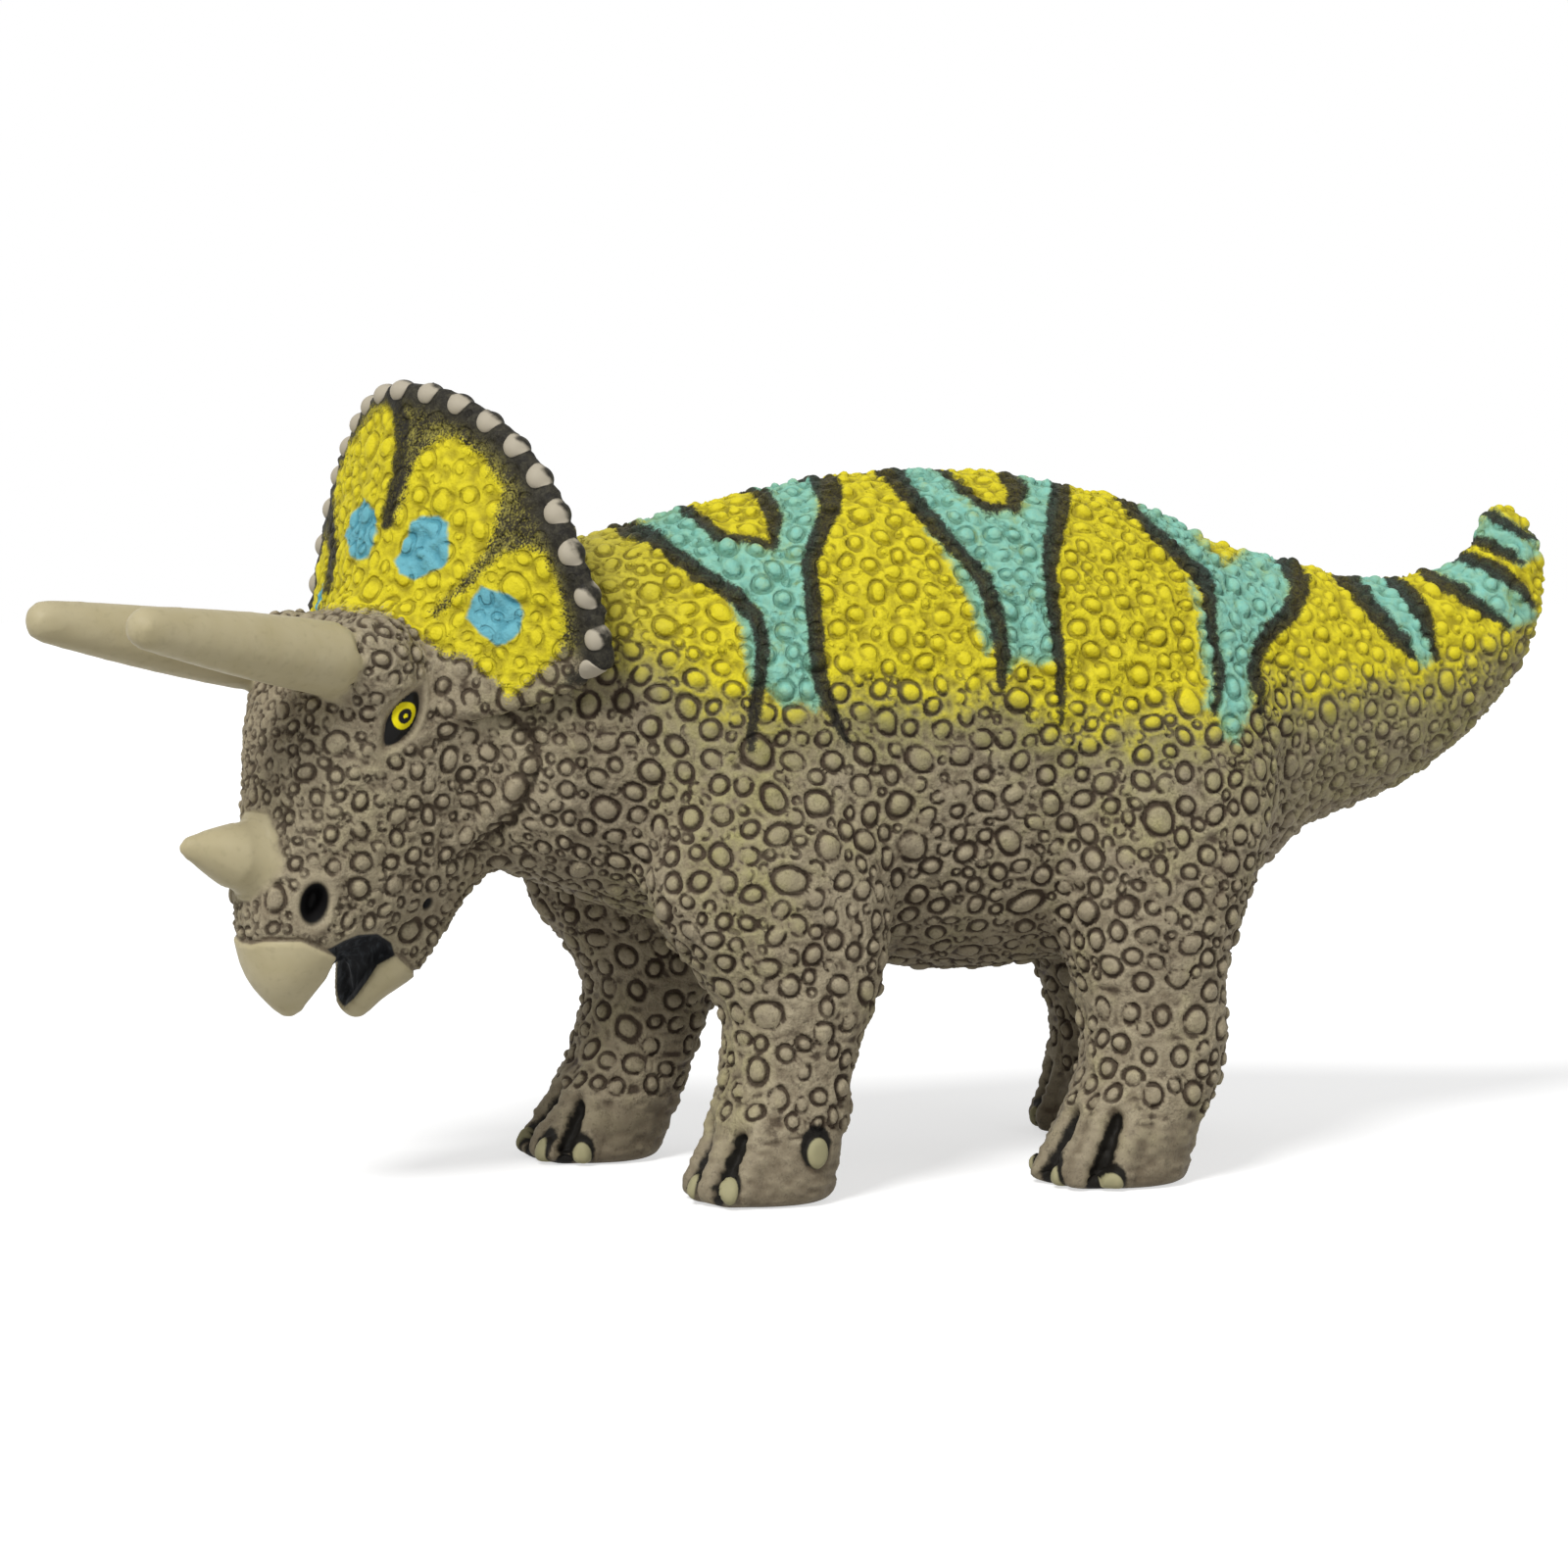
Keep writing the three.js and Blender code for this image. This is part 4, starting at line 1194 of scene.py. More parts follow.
inner = np.clip(1 - (from_middle / (0.8 * radius)) ** 2, 0, 1) * facing

farthest_first = np.argsort(-np.abs(ring_gap), kind="stable")
ring_far = np.full(count, RING_FAR)
ring_far[touched[farthest_first]] = ring_gap[farthest_first]
ring_near = np.zeros(count)
ring_near[touched[farthest_first]] = ring_power[farthest_first]
groove_width = np.maximum(ring_near, 0.3)
ring_bump = bump(ring_far / groove_width, GROOVE_HALF_WIDTH) * np.minimum(ring_near, 1)
dome, dome_height, lip = np.zeros((3, count))
np.maximum.at(dome, touched, inner)
np.maximum.at(dome_height, touched, inner**0.7 * (0.16 + 0.26 * radius) * rise[which])
np.maximum.at(lip, touched, facing * bump(from_middle - 1.2 * radius, 0.32))
print("points in grooves:", (ring_bump > 0.5).sum())

# %% [markdown]
# ## Shape the skin
# All the heights are added up: domes, grooves and lips, then lumps and folds, the belly's folds, the
# toes and the wrinkled tongue. Where paint lies thick the grooves are half full, and the domes stand
# out more. The frill's scales are flatter. Painted shade is also worked out here for the paint: on the
# neck in the frill's shade, on the insides of the legs, and on what faces the ground.

# %% Add up the relief
GROOVE_DEPTH = 0.46
LIP_HEIGHT = 0.2
PAINT_FILL = 0.45
PAINT_SWELL = 0.5
FRILL_SOFTNESS = 0.5
BELLY_SOFTNESS = 0.3
CAVITY_ROUNDS = 8
CAVITY_HEIGHT = 0.2
BELLY_HEIGHT = (46, 34)
NECK_PIXEL = (590, 790)
NECK_SPREAD = (70, 130)
NECK_SHADE = 0.65
UNDER_SHADE = 0.2
INNER_SHADE = 0.36


def lumps(height, size, seed, stretch=(1, 1, 1)):
    """Waves of a height on the skin, shorter along an axis that is stretched."""
    return wave(base * stretch, size, seed) * height


rough = 1 - step_up(smooth_depth, -0.5, 0.4)
painted = np.maximum(step_up(yellow_depth, -2, 1.5) * yellow_strength, step_up(frill_yellow, -0.5, 0.5))
painted = np.maximum(painted, step_up(turquoise_depth, -0.3, 0.6))
belly = step_up(base[:, 2], *BELLY_HEIGHT) * owned_by("torso_left_shell", "torso_right_shell")
inner_leg = base_normals[:, 1] * np.where(owned_by("front_left_leg", "hind_left_leg"), 1, -1) * on_legs
# Painted shade: on what faces the ground, on the neck in the frill's shade and on the legs' insides
under = UNDER_SHADE * step_up(-base_normals[:, 2], 0.15, 0.8) * step_up(base[:, 2], 12, 22)
neck = NECK_SHADE * np.exp(-np.sum(((seen - NECK_PIXEL) / NECK_SPREAD) ** 2, axis=1))
inside = INNER_SHADE * step_up(inner_leg, 0.0, 0.7)
painted_shade = np.maximum.reduce([inside, under, neck]) * on_trunk * ~owned_by("tail")

scale_relief = dome_height * (1 + PAINT_SWELL * painted)
scale_relief -= GROOVE_DEPTH * (1 - PAINT_FILL * painted) * ring_bump
scale_relief += LIP_HEIGHT * lip * (1 - dome.clip(0, 1)) * (1 - ring_bump)
scale_relief *= 1 - FRILL_SOFTNESS * on_frill
folds = lumps(0.2, 3.4, 11, (1, 1, 1.9)) + lumps(0.14, 1.6, 12, (1, 1.2, 1.4))
folds += 0.144 - np.abs(lumps(0.36, 2.3, 18, (1, 1, 1.3)))
folds += lumps(0.3, 2.2, 13, (0.4, 1, 1)) * belly
folds += (lumps(0.26, 1.3, 19) + lumps(0.32, 2.6, 20)) * painted
toe_folds = (lumps(0.36, 4.0, 14) + lumps(0.34, 1.7, 15, (1, 1, 2.2))) * on_legs
toe_folds *= step_up(base[:, 2], 16, 8) * step_up(base[:, 2], 0.3, 2.5)
bulge = lumps(0.18, 9.0, 16) * (on_trunk | on_head)
relief += (scale_relief * (1 - BELLY_SOFTNESS * belly) + folds * (1 - 0.5 * dome) + bulge) * rough
relief += toe_folds * (nail_depth < -0.2)
relief += lumps(0.3, 1.6, 17, (1.8, 1.8, 0.6)) * step_up(mouth_depth, 0.8, 1.6)
print("relief from", relief.min().round(2), "to", relief.max().round(2), "mm")

# %% [markdown]
# ## Move the points
# Every point moves along its normal by its height. Heights are about a millimetre, so the figure keeps
# its size, and the soles stay flat. How far each point stands above the skin around it is kept for
# the paint, because a wiped wash stays low and a rubbed tone stays high.

# %% Move the points
STILL_SOLE = (0.15, 1.4)

level = relief
for _ in range(CAVITY_ROUNDS):
    level = neighbour_mean(level, edges)
height_above = np.clip((relief - level) / CAVITY_HEIGHT, -1, 1)
points = base + base_normals * (relief * step_up(base[:, 2], *STILL_SOLE))[:, None]
normals = normals_of(points, quads)
print("points standing proud of the skin around them:", (height_above > 0.5).sum())

# %% [markdown]
# ## Cut the skin into its mouldings
# Each square goes to the moulding that owns most of its corners. Ragged edges are evened out by letting
# each square side with its neighbours, and stray islands join the moulding around them. Neighbours
# share the same edge points, so that no gap shows.

# %% Share out the squares
EVENING_ROUNDS = 4
MOST_MENDS = 12


kinds = len(node_names)
corner_votes = owner[quads][:, :, None] == np.arange(kinds)
square_owner = corner_votes.sum(axis=1).argmax(axis=1)


def point_votes():
    """How many squares of each moulding meet at each point."""
    votes = np.zeros((count, kinds), int)
    for corner in range(4):
        np.add.at(votes, (quads[:, corner], square_owner), 1)
    return votes


for _ in range(EVENING_ROUNDS):
    square_owner = point_votes()[quads].sum(axis=1).argmax(axis=1)


def sides_of(faces):
    """The first and the second point of each side of each square."""
    return faces.T.ravel(), np.roll(faces, -1, axis=1).T.ravel()


def corner_touches():
    """Points where one moulding meets itself only at a corner."""
    touching = np.zeros(count, bool)
    for kind in range(kinds):
        starts, ends = sides_of(quads[square_owner == kind])
        low, high = np.minimum(starts, ends), np.maximum(starts, ends)
        keys, times = np.unique(low * count + high, return_counts=True)
        rim = keys[times == 1]
        rims = np.bincount(np.concatenate([rim // count, rim % count]), minlength=count)
        touching |= rims > 2
    return touching


for _ in range(MOST_MENDS):
    for kind in range(kinds):
        squares = np.flatnonzero(square_owner == kind)
        group = groups(count, edges_of(quads[squares]))[quads[squares, 0]]
        main = np.bincount(group).argmax()
        strays = squares[group != main]
        votes = point_votes()
        votes[:, kind] = 0
        square_owner[strays] = votes[quads[strays]].sum(axis=1).argmax(axis=1)
    touching = corner_touches()
    if not touching.any():
        break
    votes = point_votes()
    for point in np.flatnonzero(touching):
        square_owner[(quads == point).any(axis=1)] = votes[point].argmax()
print("corner touches left:", touching.sum())

# %% [markdown]
# ## Find the open rims
# Each cut piece is open where it met its neighbours. Its rim is found as the sides that only one of its
# squares uses. A cap over the rim has to stay within the skin, so a test for that is made as well.

# %% Rims
CAP_CLEARANCE = 0.3

skin_finder = BVHTree.FromPolygons([Vector(point) for point in points], quads.tolist())


def within_skin(places):
    """Whether each place lies inside the figure and clear of its surface."""
    inside = []
    for place in places:
        nearest, normal, _, _ = skin_finder.find_nearest(Vector(place))
        inside.append((Vector(place) - nearest).dot(normal) < -CAP_CLEARANCE)
    return np.array(inside)


def rim_loops(faces):
    """The closed runs of sides that only one square uses."""
    starts, ends = (side.tolist() for side in sides_of(faces))
    inner = set(zip(ends, starts))
    after = {start: end for start, end in zip(starts, ends) if (start, end) not in inner}
    loops = []
    while after:
        start, point = after.popitem()
        loop = [start]
        while point != loop[0]:
            loop.append(point)
            point = after.pop(point)
        loops.append(loop)
    return loops


for kind, name in enumerate(node_names):
    print(name, "has rims of", [len(loop) for loop in rim_loops(quads[square_owner == kind])], "sides")

# %% [markdown]
# ## Close the pieces
# A cap turns inward from the rim in a few rings and ends in a middle point, so that each moulding is a
# solid of its own. The rings start from the bottom of the relief. Where the body is thin a ring could
# come out of the skin on the other side. A point that would do so stays close under the ring before
# it.

# %% Caps
CAP_DEPTHS = (1.2, 2.4, 4.0)
CAP_DRAW = 0.06
CAP_STUB = 0.12


def closed_piece(faces):
    """Which points of the skin a piece uses, then its own points and faces with a cap over each rim."""
    used, renumbered = np.unique(faces, return_inverse=True)
    local = renumbered.reshape(faces.shape)
    place = list(points[used])
    polygons = local.tolist()
    for loop in rim_loops(local):
        size = len(loop)
        after = np.roll(np.arange(size), -1)
        ring = np.array(loop)
        inward = -base_normals[used][ring]
        edge = base[used][ring] + inward * np.maximum(-relief[used][ring], 0)[:, None]
        middle = (edge + inward * CAP_DEPTHS[-1]).mean(axis=0)
        for depth in CAP_DEPTHS:
            inset = edge + inward * depth
            inset += CAP_DRAW * depth * (middle - inset) / CAP_DEPTHS[-1]
            outer = np.array([place[point] for point in ring])
            bare = ~within_skin(inset)
            inset[bare] = outer[bare] + CAP_STUB * (middle - outer[bare])
            inner = len(place) + np.arange(size)
            place.extend(inset)
            polygons.extend(np.stack([ring[after], ring, inner, inner[after]], axis=1).tolist())
            ring = inner
        place.append(middle)
        polygons.extend(np.stack([ring[after], ring, np.full(size, len(place) - 1)], axis=1).tolist())
    return used, np.array(place), polygons


closed = {name: closed_piece(quads[square_owner == kind]) for kind, name in enumerate(node_names)}
for name, (used, place, _) in closed.items():
    print(name, "has", len(used), "points of skin and", len(place) - len(used), "in its caps")

# %% [markdown]
# ## One mesh for each moulding
# The shape, the normals of the whole skin and the paint distances all go with each piece. The normals
# come from the uncut skin, so the light runs on over a joint as it does on the real figure. Each piece
# takes the place of its packed one and stands on the one body.

# %% From points to a piece
SLOTS = {"head": "skin", "lower_jaw": "skin", "frill": "frill_paint", "tail": "back_paint"}
SLOTS |= {"torso_left_shell": "back_paint", "torso_right_shell": "back_paint"}
SLOTS |= {name: "skin" for name in leg_nodes} | {name: "horn" for name in horn_nodes}


def painted_piece(name, material):
    used, place, polygons = closed[name]
    mesh = bpy.data.meshes.new(name)
    mesh.from_pydata((place * MILLIMETRE).tolist(), [], polygons)
    mesh.shade_smooth()
    for label, (values, hidden) in paint_layers.items():
        kept = np.full(len(place), hidden, np.float32)
        kept[: len(used)] = values[used]
        mesh.attributes.new(label, "FLOAT", "POINT").data.foreach_set("value", kept)
    mesh_normals = np.array([vertex.normal for vertex in mesh.vertices])
    mesh_normals[: len(used)] = normals[used]
    mesh.normals_split_custom_set_from_vertices(mesh_normals.tolist())
    mesh.materials.append(material)
    piece = bpy.data.objects.new(name + "_skin", mesh)
    bpy.context.scene.collection.objects.link(piece)
    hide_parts(name)
    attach(piece, "root")
    return piece


print("slots:", SLOTS)

# %% [markdown]
# ## Shader maths in plain expressions
# A material is a graph of nodes. A small class lets the graph be written as arithmetic: it holds an
# output socket, and every operator adds the Math node that does the same. The reflected forms serve
# where a plain number stands first.

# %% Sockets that do arithmetic


class Signal:
    """An output socket of a node, with the operators that this lesson uses."""

    def __init__(self, tree, socket):
        self.tree = tree
        self.socket = socket

    def math(self, operation, *values, clamp=False):
        node = self.tree.nodes.new("ShaderNodeMath")
        node.operation = operation
        node.use_clamp = clamp
        for slot, value in enumerate(values):
            join(self.tree, node.inputs[slot], value)
        return Signal(self.tree, node.outputs[0])

    def __add__(self, other):
        return self.math("ADD", self, other)

    def __radd__(self, other):
        return self.math("ADD", other, self)

    def __sub__(self, other):
        return self.math("SUBTRACT", self, other)

    def __rsub__(self, other):
        return self.math("SUBTRACT", other, self)

    def __mul__(self, other):
        return self.math("MULTIPLY", self, other)

    def __rmul__(self, other):
        return self.math("MULTIPLY", other, self)

    def __truediv__(self, other):
        return self.math("DIVIDE", self, other)

    def __rtruediv__(self, other):
        return self.math("DIVIDE", other, self)

    def rise(self, low, high):
        """Zero below low, one above high and a smooth rise between."""
        share = ((self - low) / (high - low)).math_clamped()
        return share * share * (3 - 2 * share)

    def math_clamped(self):
        return self.math("ADD", self, 0.0, clamp=True)

    def most(self, other):
        return self.math("MAXIMUM", self, other)


def join(tree, socket, value):
    """A socket gets a link from a signal, or a plain value."""
    if isinstance(value, Signal):
        tree.links.new(value.socket, socket)
    else:
        socket.default_value = value


print("operators:", [name for name in vars(Signal) if name.startswith("__r")])

# %% [markdown]
# ## A finish under construction
# Colours are blended by Mix nodes and places are scaled by Vector Math. One method adds any other node.
# Noise is looked up at a place on the object, so its lumps have a size in millimetres. A colour is
# given as it looks on the screen, and is turned into the linear light that shaders use.

# %% Nodes, noise and colours
NOISE_GAIN = 3.2


class Finish:
    """The nodes of a material, or of the world, under construction."""

    def __init__(self, name, world=False):
        kind = bpy.data.worlds if world else bpy.data.materials
        self.block = kind.new(name)
        self.block.use_nodes = True
        self.tree = self.block.node_tree
        self.shader = self.tree.nodes["Background" if world else "Principled BSDF"]

    def set(self, sockets):
        """Values or links for sockets of the shader itself."""
        for label, value in sockets.items():
            join(self.tree, self.shader.inputs[label], value)

    def node(self, kind, settings, sockets, output=0):
        """Any other node: its settings come first, then the values or links of its sockets."""
        node = self.tree.nodes.new(kind)
        for setting, value in settings.items():
            setattr(node, setting, value)
        for label, value in sockets.items():
            join(self.tree, node.inputs[label], value)
        return Signal(self.tree, node.outputs[output])

    def layer(self, label):
        """A value kept for each point of the mesh."""
        return self.node("ShaderNodeAttribute", {"attribute_name": label}, {}, "Fac")

    def noise(self, size, detail=2.0, stretch=(1, 1, 1)):
        """Soft noise, mostly between -1 and 1, with lumps of about the given size in millimetres."""
        place = self.node("ShaderNodeTexCoord", {}, {}, "Object")
        scale = [along / (size * MILLIMETRE) for along in stretch]
        place = self.node("ShaderNodeVectorMath", {"operation": "MULTIPLY"}, {0: place, 1: scale})
        value = self.node("ShaderNodeTexNoise", {}, {"Vector": place, "Scale": 1.0, "Detail": detail})
        return (value - 0.5) * NOISE_GAIN

    def mix(self, share, under, over):
        """Two colours blended by a share that varies over the surface."""
        return self.node("ShaderNodeMix", {"data_type": "RGBA"}, {0: share, 6: under, 7: over}, 2)


def paint(red, green, blue):
    """A colour given as it looks on a screen, 0 to 255, as the linear colour that shaders use."""
    screen = np.array([red, green, blue]) / 255
    linear = np.where(screen <= 0.04045, screen / 12.92, ((screen + 0.055) / 1.055) ** 2.4)
    return (*linear.tolist(), 1.0)


print("yellow paint in linear light:", [round(value, 3) for value in paint(228, 212, 36)])

# %% [markdown]
# ## Distances for the paint
# The material needs to know where each coat lies, so every distance that was measured on the skin goes
# with the mesh as a value for each point. The caps inside are not painted, and take the second value.

# %% Values kept on the mesh
TAIL_SOFTNESS = 0.45
HEAD_SOFTNESS = 0.12

soft_tail = TAIL_SOFTNESS * owned_by("tail")
bare = -PAINT_REACH
paint_layers = {
    "ring": (ring_far, RING_FAR),
    "ring_power": (ring_near * (1 - soft_tail), 0),
    "dome": (dome, 0),
    "height": (height_above, 0),
    "rough": (rough * (1 - soft_tail - HEAD_SOFTNESS * on_head), 1),
    "overspray": (overspray, 0),
    "strength": (yellow_strength, 0),
    "painted_shade": (painted_shade, 0),
    "face": (on_head.astype(float), 0),
    "low": (low_on_foot * on_legs, 0),
    "frill_ground": (frill_ground, 0),
    "frill_front": ((on_frill & frill_front).astype(float), 0),
    "iris": (iris_reach, IRIS_FAR),
    "yellow": (yellow_depth, bare),
    "turquoise": (turquoise_depth, bare),
    "black": (black_depth, bare),
    "toe_black": (np.maximum(crease_paint, nail_shadow), bare),
    "frill_yellow": (frill_yellow, bare),
    "frill_rim": (rim_depth, bare),
    "frill_blue": (blue_depth, bare),
    "knob": (knob_depth, bare),
    "horn": (horn_depth, bare),
    "beak": (beak_depth, bare),
    "mouth": (mouth_depth, bare),
    "nostril": (nostril_depth, bare),
    "eye": (eye_depth, bare),
    "nail": (nail_depth, bare),
}
print("values kept for each point:", len(paint_layers))

# %% [markdown]
# ## The wash and the relief
# The layers are laid in the order in which the figure is painted: cast vinyl, wash, spray, brush, horn
# and eyes. A coat's edge is where its distance passes zero, roughened by noise as wide as the spray's
# speckle. First comes what every coat needs: the grooves of the rings, and all the low places where a
# wiped wash stays.

# %% Where the wash stays
vinyl = Finish("painted_vinyl")
layer, noise, mix = vinyl.layer, vinyl.noise, vinyl.mix
ring_edge, ring_force = layer("ring"), layer("ring_power")
crown, height = layer("dome"), layer("height")
coarse, middling, fine, speckle = noise(9), noise(3.2), noise(1.1, 4.0), noise(0.32)

off_ring = ring_edge.most(0 - ring_edge)
groove = (1 - off_ring.rise(0.1, 0.2 + 0.24 * ring_force)) * ring_force.rise(0.15, 0.85)
hollow = (0.3 * fine - height).rise(0.1, 0.9)
creased = (0.8 * noise(1.6, 3.0) + 0.35 * fine - 0.9 * height).rise(0.1, 0.9)
washed = (groove * (0.9 + 0.25 * middling)).most(0.85 * hollow).most(0.6 * creased).math_clamped()
washed = washed * layer("rough")
print("nodes so far:", len(vinyl.tree.nodes))

# %% [markdown]
# ## Grey-brown vinyl
# The vinyl is cast grey-brown. A dark wash is wiped over it, and a paler tone is rubbed on the raised
# parts, with a little of the yellow spray in it. The neck, the belly and the insides of the legs get a
# painted shade, and the feet grow darker towards the ground.

# %% Wash and rub the vinyl
SKIN_DEEP = paint(106, 93, 75)
SKIN_MID = paint(147, 135, 112)
SKIN_PALE = paint(180, 168, 141)
SKIN_OLIVE = paint(174, 168, 108)
# The dark wash, also used as the colour of painted shade
WASH_AND_SHADE = paint(54, 41, 33)

raised = (0.46 + 0.36 * height - 0.14 * crown + 0.3 * middling + 0.4 * fine).math_clamped()
colour = mix((0.5 + 0.7 * coarse).math_clamped(), SKIN_DEEP, SKIN_MID)
tint = 0.75 * layer("overspray") + 0.5 * noise(16) + 0.25 * middling
# Less olive in the rub where painted shade lies, low on the feet and on the face
tint = tint * (1 - layer("painted_shade").most(0.8 * layer("low")).most(0.6 * layer("face")))
rubbed = mix(tint.math_clamped(), SKIN_PALE, SKIN_OLIVE)
colour = mix(raised, colour, rubbed)
colour = mix(0.45 * (fine + 0.5 * speckle).rise(-0.2, 0.9), colour, WASH_AND_SHADE)
colour = mix(0.92 * washed, colour, WASH_AND_SHADE)
# Painted shade in the wash colour on the neck, the belly and the insides of the legs, and the feet
# darker towards the ground
shade_and_dark_feet = 0.3 * layer("low") + 0.42 * layer("painted_shade") * (1 + 0.6 * middling + 0.5 * fine)
colour = mix(shade_and_dark_feet.math_clamped(), colour, WASH_AND_SHADE)
print("nodes with the vinyl:", len(vinyl.tree.nodes))

# %% [markdown]
# ## Sprayed yellow
# The airbrush throws a cloud of fine drops. Far from the back they only dust the raised skin with olive,
# and nearer they close into yellow. The grooves and low places take a darker yellow, partly the wash
# under the spray and partly painted shade, and less of it where the paint lies thick.

# %% Spray the yellow
YELLOW = paint(228, 213, 44)
YELLOW_SHADE_AND_WASH = paint(134, 120, 34)
OLIVE = paint(152, 146, 72)

depth = layer("yellow") + 2.4 * coarse + 2.0 * middling + 1.6 * height - 1.8 * groove
dusted = (0.6 * depth.rise(-10, 0.5) * (1 - 0.8 * washed)).math_clamped()
colour = mix(dusted, colour, OLIVE)
sprayed = depth.rise(-4.6, 4.2) * layer("strength") * (1 - 0.12 * speckle)
thick = layer("yellow").rise(0.5, 5).most(1.8 * layer("frill_front"))
grooved = groove * (0.75 + 0.6 * middling) * (0.75 - 0.4 * thick).math_clamped()
# A darker yellow in the grooves and low places: partly the wash under the spray, partly painted shade
yellow = mix(grooved.math_clamped(), YELLOW, YELLOW_SHADE_AND_WASH)
yellow = mix((0.22 - 0.45 * height + 0.15 * fine).math_clamped(), yellow, YELLOW_SHADE_AND_WASH)
colour = mix(sprayed.math_clamped(), colour, yellow)
print("nodes with the yellow:", len(vinyl.tree.nodes))

# %% [markdown]
# ## Turquoise bands
# The bands are brushed thinly over the yellow. It stains them green in patches and along their edges.
# Their grooves and low places get a painted shade.

# %% Brush the turquoise
TURQUOISE = paint(134, 201, 186)
TURQUOISE_SHADE = paint(98, 152, 134)
TURQUOISE_STAINED = paint(152, 172, 92)

depth = layer("turquoise") + 0.45 * fine + 0.35 * speckle
# Painted shade: a darker turquoise in the grooves and low places
turquoise = mix((0.45 * groove - 0.4 * height + 0.12).math_clamped(), TURQUOISE, TURQUOISE_SHADE)
stain = 0.7 * (middling + 0.5 * fine).rise(0.1, 1.4) + 0.35 * (1 - layer("turquoise").rise(0, 2))
turquoise = mix(stain.math_clamped(), turquoise, TURQUOISE_STAINED)
colour = mix(depth.rise(-0.7, 0.7) * (0.93 - 0.1 * fine), colour, turquoise)
print("nodes with the turquoise:", len(vinyl.tree.nodes))

# %% [markdown]
# ## The frill's coats
# The frill's ground is dark with an olive stipple. Then it gets its yellow butterfly, its dry-brushed
# dark rim and its blue spots, with a painted shade in the spots' grooves and low places.

# %% Paint the frill
FRILL_DARK = paint(56, 52, 40)
FRILL_STIPPLE = paint(164, 155, 74)
BLACK = paint(40, 38, 34)
RIM_GREY = paint(72, 69, 58)
BLUE = paint(112, 182, 196)
BLUE_SHADE = paint(68, 138, 156)

stipple = 0.9 * speckle + 0.35 * fine + 0.35 * middling + 0.1 * layer("frill_yellow")
ground = mix((stipple + 0.35).rise(-0.2, 1.1), FRILL_DARK, FRILL_STIPPLE)
colour = mix(layer("frill_ground").rise(0.2, 0.8), colour, ground)
depth = layer("frill_yellow") + 0.9 * speckle + 0.4 * fine
colour = mix(depth.rise(-0.8, 0.6), colour, yellow)
depth = layer("frill_rim") + 0.9 * speckle + 0.5 * fine
rim = mix((fine + 0.5 * speckle).rise(-0.6, 1.0), BLACK, RIM_GREY)
colour = mix(depth.rise(-1.2, 1.0), colour, rim)
# Painted shade: a darker blue in the grooves and low places
blue = mix((0.3 * groove - 0.4 * height + 0.1).math_clamped(), BLUE, BLUE_SHADE)
colour = mix((layer("frill_blue") + 0.2 * fine).rise(-0.25, 0.35), colour, blue)
print("nodes with the frill:", len(vinyl.tree.nodes))

# %% [markdown]
# ## Black stripes
# The stripes are brushed last on the back, with an edge that is crisp but never straight, and they wear
# through to olive in specks. A deeper black is run between the toes and above the nails.

# %% Brush the black
BLACK_WORN = paint(84, 78, 56)
GROOVE_BLACK = paint(18, 17, 15)

depth = layer("black") + 0.3 * fine + 0.28 * speckle
black = mix((fine + 0.6 * speckle).rise(0.3, 1.4), BLACK, BLACK_WORN)
colour = mix(depth.rise(-0.32, 0.32) * (0.95 - 0.08 * speckle).math_clamped(), colour, black)
depth = layer("toe_black") + 0.25 * fine
colour = mix(depth.rise(-0.3, 0.2) * 0.97, colour, GROOVE_BLACK)
print("nodes with the black:", len(vinyl.tree.nodes))

# %% [markdown]
# ## Horn, mouth, nails and eyes
# Horns and beaks are tan with a waxy mottle, the knobs paler and the nails greyer. The mouth and the
# nostrils are dark. The small parts cover one another, so they are laid in this order, and the eye's
# pupil and its dot come last.

# %% Paint the small parts
HORN = paint(182, 170, 133)
HORN_PALE = paint(196, 185, 152)
KNOB = paint(184, 175, 156)
NAIL = paint(164, 158, 122)
MOUTH_DARK = paint(34, 35, 37)
MOUTH_GREY = paint(74, 78, 82)
NOSTRIL = paint(16, 15, 15)
EYE_BLACK = paint(20, 19, 18)
IRIS = paint(236, 220, 22)
PUPIL_EDGE = (0.2, 0.3)
DOT_EDGE = (0.02, 0.05)
IRIS_EDGE = (0.66, 0.86)

tan = mix((0.4 + 0.4 * noise(5, 2.0)).math_clamped(), HORN, HORN_PALE)
tan = mix(0.12 * fine.rise(0, 1), tan, WASH_AND_SHADE)
colour = mix((layer("horn") + 0.35 * middling).rise(-1.0, 0.7), colour, tan)
mouth = mix(noise(0.8, 3.0, (1, 1, 0.4)).rise(-0.2, 1.0), MOUTH_DARK, MOUTH_GREY)
colour = mix(layer("mouth").rise(-0.25, 0.15), colour, mouth)
colour = mix(layer("beak").rise(-0.12, 0.15), colour, tan)
colour = mix((layer("knob") + 0.1 * fine).rise(-0.1, 0.2), colour, KNOB)
nail = mix(0.4 * fine.rise(0, 1), NAIL, HORN)
colour = mix(layer("nail").rise(-0.1, 0.15), colour, nail)
colour = mix(layer("nostril").rise(-0.3, 0.25), colour, NOSTRIL)
colour = mix(layer("eye").rise(-0.15, 0.1), colour, EYE_BLACK)
iris = layer("iris")
colour = mix(1 - iris.rise(*IRIS_EDGE), colour, IRIS)
colour = mix((1 - iris.rise(*PUPIL_EDGE)) * iris.rise(*DOT_EDGE), colour, EYE_BLACK)
print("nodes with the small parts:", len(vinyl.tree.nodes))

# %% [markdown]
# ## Gloss and grain
# The paint is satin. Horns and beaks shine a little more, and the eyes are lacquered. Wrinkles finer
# than the mesh, and the sharp bottoms of the rings, are a bump of one or two tenths of a millimetre.

# %% Finish the vinyl
SHEEN = 0.13

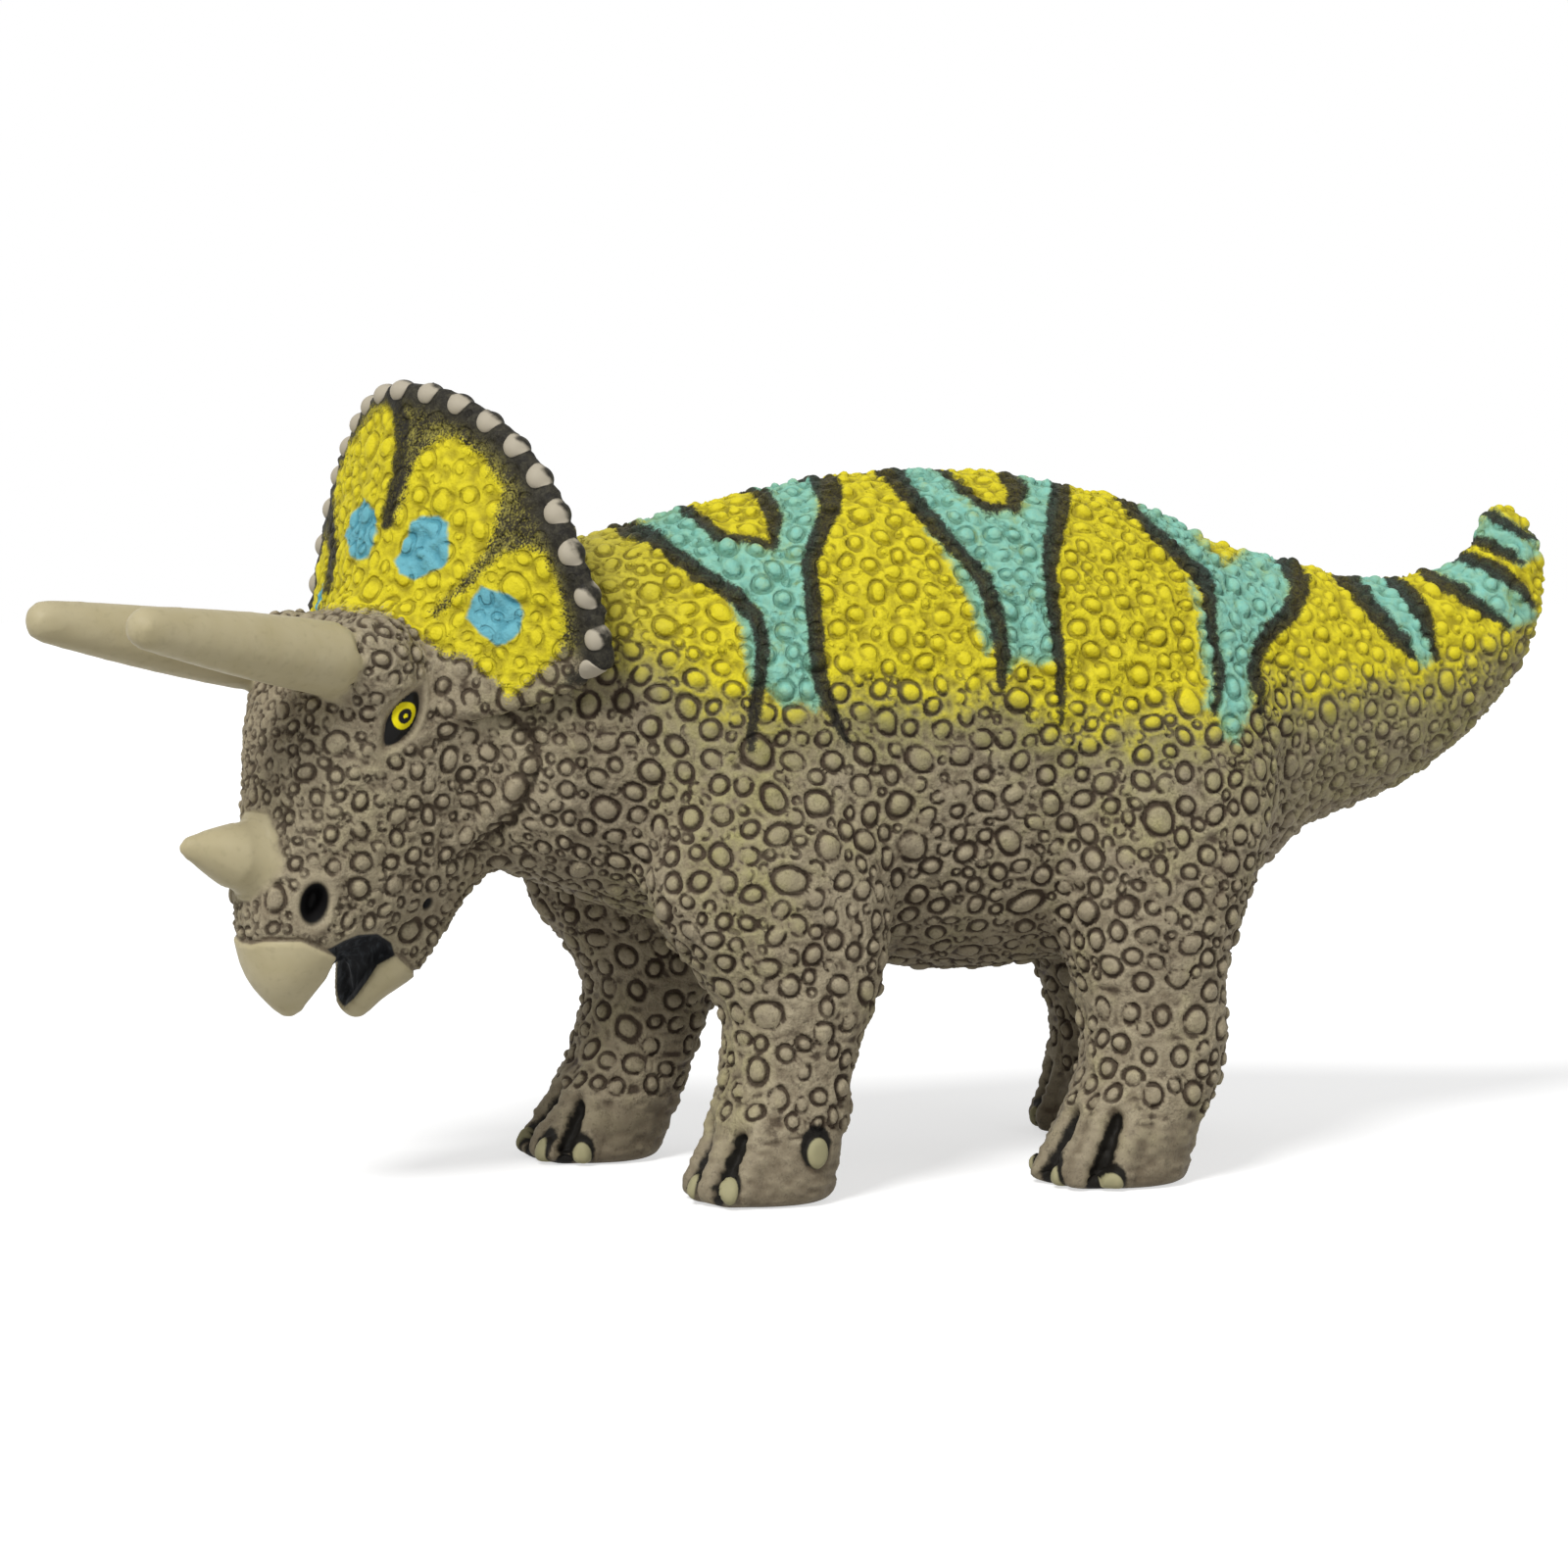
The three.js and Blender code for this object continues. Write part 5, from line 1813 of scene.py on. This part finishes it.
glossy = layer("eye").rise(-0.2, 0.2)
waxy = layer("horn").rise(-0.5, 0.5).most(layer("beak").rise(-0.1, 0.1))
roughness = 0.62 + 0.06 * fine + 0.12 * groove - 0.16 * waxy - 0.22 * glossy
grain = 0.03 * speckle + 0.06 * fine + 0.1 * noise(0.75, 3.0) * (1 - 0.6 * crown)
engraved = grain * layer("rough") * (1 - glossy) - 0.22 * groove * layer("rough")
normal = vinyl.node("ShaderNodeBump", {}, {"Height": engraved, "Distance": MILLIMETRE})
vinyl.set({"Specular IOR Level": SHEEN, "Base Color": colour, "Roughness": roughness, "Normal": normal})
print("nodes in the painted vinyl:", len(vinyl.tree.nodes))

# %% [markdown]
# ## Put the pieces in the scene
# All thirteen mouldings wear the same coats of paint, because on the real figure the brush runs on over
# the joints.

# %% Make all the pieces
pieces = [painted_piece(name, vinyl.block) for name in node_names]
for piece in pieces:
    print(piece.name, len(piece.data.polygons), "faces")

# %% [markdown]
# ## A white studio
# The photograph was taken on white with soft light from the upper left. A broad sun gives the soft key
# light, a weaker one fills the shadows, and the world lights the rest evenly. The floor and the world
# are white to the camera only, so that the white costs the figure none of its colour.

# %% The floor
FLOOR_SIZE = 4.0

floor_mesh = bpy.data.meshes.new("floor")
half = FLOOR_SIZE / 2
floor_corners = [(-half, -half, 0), (half, -half, 0), (half, half, 0), (-half, half, 0)]
floor_mesh.from_pydata(floor_corners, [], [(0, 1, 2, 3)])
floor = bpy.data.objects.new("floor", floor_mesh)
bpy.context.scene.collection.objects.link(floor)
print("floor:", FLOOR_SIZE, "m wide")

# %% [markdown]
# ## White for the camera
# A Light Path node tells which rays come from the camera, a mirror or glass. Only those see the glow
# of the paper floor and the full white of the world. Light that falls on surfaces does not, and the
# floor keeps the figure's shadow.

# %% Paper floor and world
FLOOR_WHITE = (0.62, 0.62, 0.62, 1)
FLOOR_ROUGHNESS = 0.9
FLOOR_GLOW = 0.62
WORLD_LEVEL = 0.33
BLACK_LIGHT = (0, 0, 0, 1)
WHITE_LIGHT = (1, 1, 1, 1)


def seen_by_camera(finish):
    """One where a ray comes from the camera, a mirror or glass, and zero for light on surfaces."""
    kinds_of_ray = ("Is Camera Ray", "Is Glossy Ray", "Is Transmission Ray")
    camera_ray, glossy_ray, clear_ray = (
        finish.node("ShaderNodeLightPath", {}, {}, kind) for kind in kinds_of_ray
    )
    return (camera_ray + glossy_ray + clear_ray).math_clamped()


paper = Finish("white_paper")
glow = paper.mix(seen_by_camera(paper), BLACK_LIGHT, WHITE_LIGHT)
paper.set({"Base Color": FLOOR_WHITE, "Roughness": FLOOR_ROUGHNESS, "Specular IOR Level": 0.0})
paper.set({"Emission Color": glow, "Emission Strength": FLOOR_GLOW})
floor_mesh.materials.append(paper.block)

studio = Finish("studio", world=True)
level = WORLD_LEVEL + (1 - WORLD_LEVEL) * seen_by_camera(studio)
studio.set({"Color": WHITE_LIGHT, "Strength": level})
bpy.context.scene.world = studio.block
print("nodes of the floor:", len(paper.tree.nodes), "and of the world:", len(studio.tree.nodes))

# %% [markdown]
# ## Lamps
# The key is a sun from the upper left with soft-edged shadows. The fill comes from the other side, and
# is so weak and broad that it casts hardly any shadow.

# %% Key and fill
KEY = {"energy": 2.25, "angle": math.radians(16), "tilt": 46, "turn": -44}
FILL = {"energy": 0.3, "angle": math.radians(50), "tilt": 60, "turn": 30}


def sun(name, energy, angle, tilt, turn):
    data = bpy.data.lights.new(name, "SUN")
    data.energy = energy
    data.angle = angle
    lamp = bpy.data.objects.new(name, data)
    lamp.rotation_euler = (math.radians(tilt), 0, math.radians(turn))
    bpy.context.scene.collection.objects.link(lamp)
    return lamp


lamps = [sun("key", **KEY), sun("fill", **FILL)]
bpy.context.scene.view_settings.view_transform = "Standard"
print("lamps:", [lamp.name for lamp in lamps])

# %% [markdown]
# ## The packed model's size
# The skin has to stay inside the packed model's box.

# %% Sizes
print("packed model:", [[round(value * 1000, 1) for value in corner] for corner in cad_box])
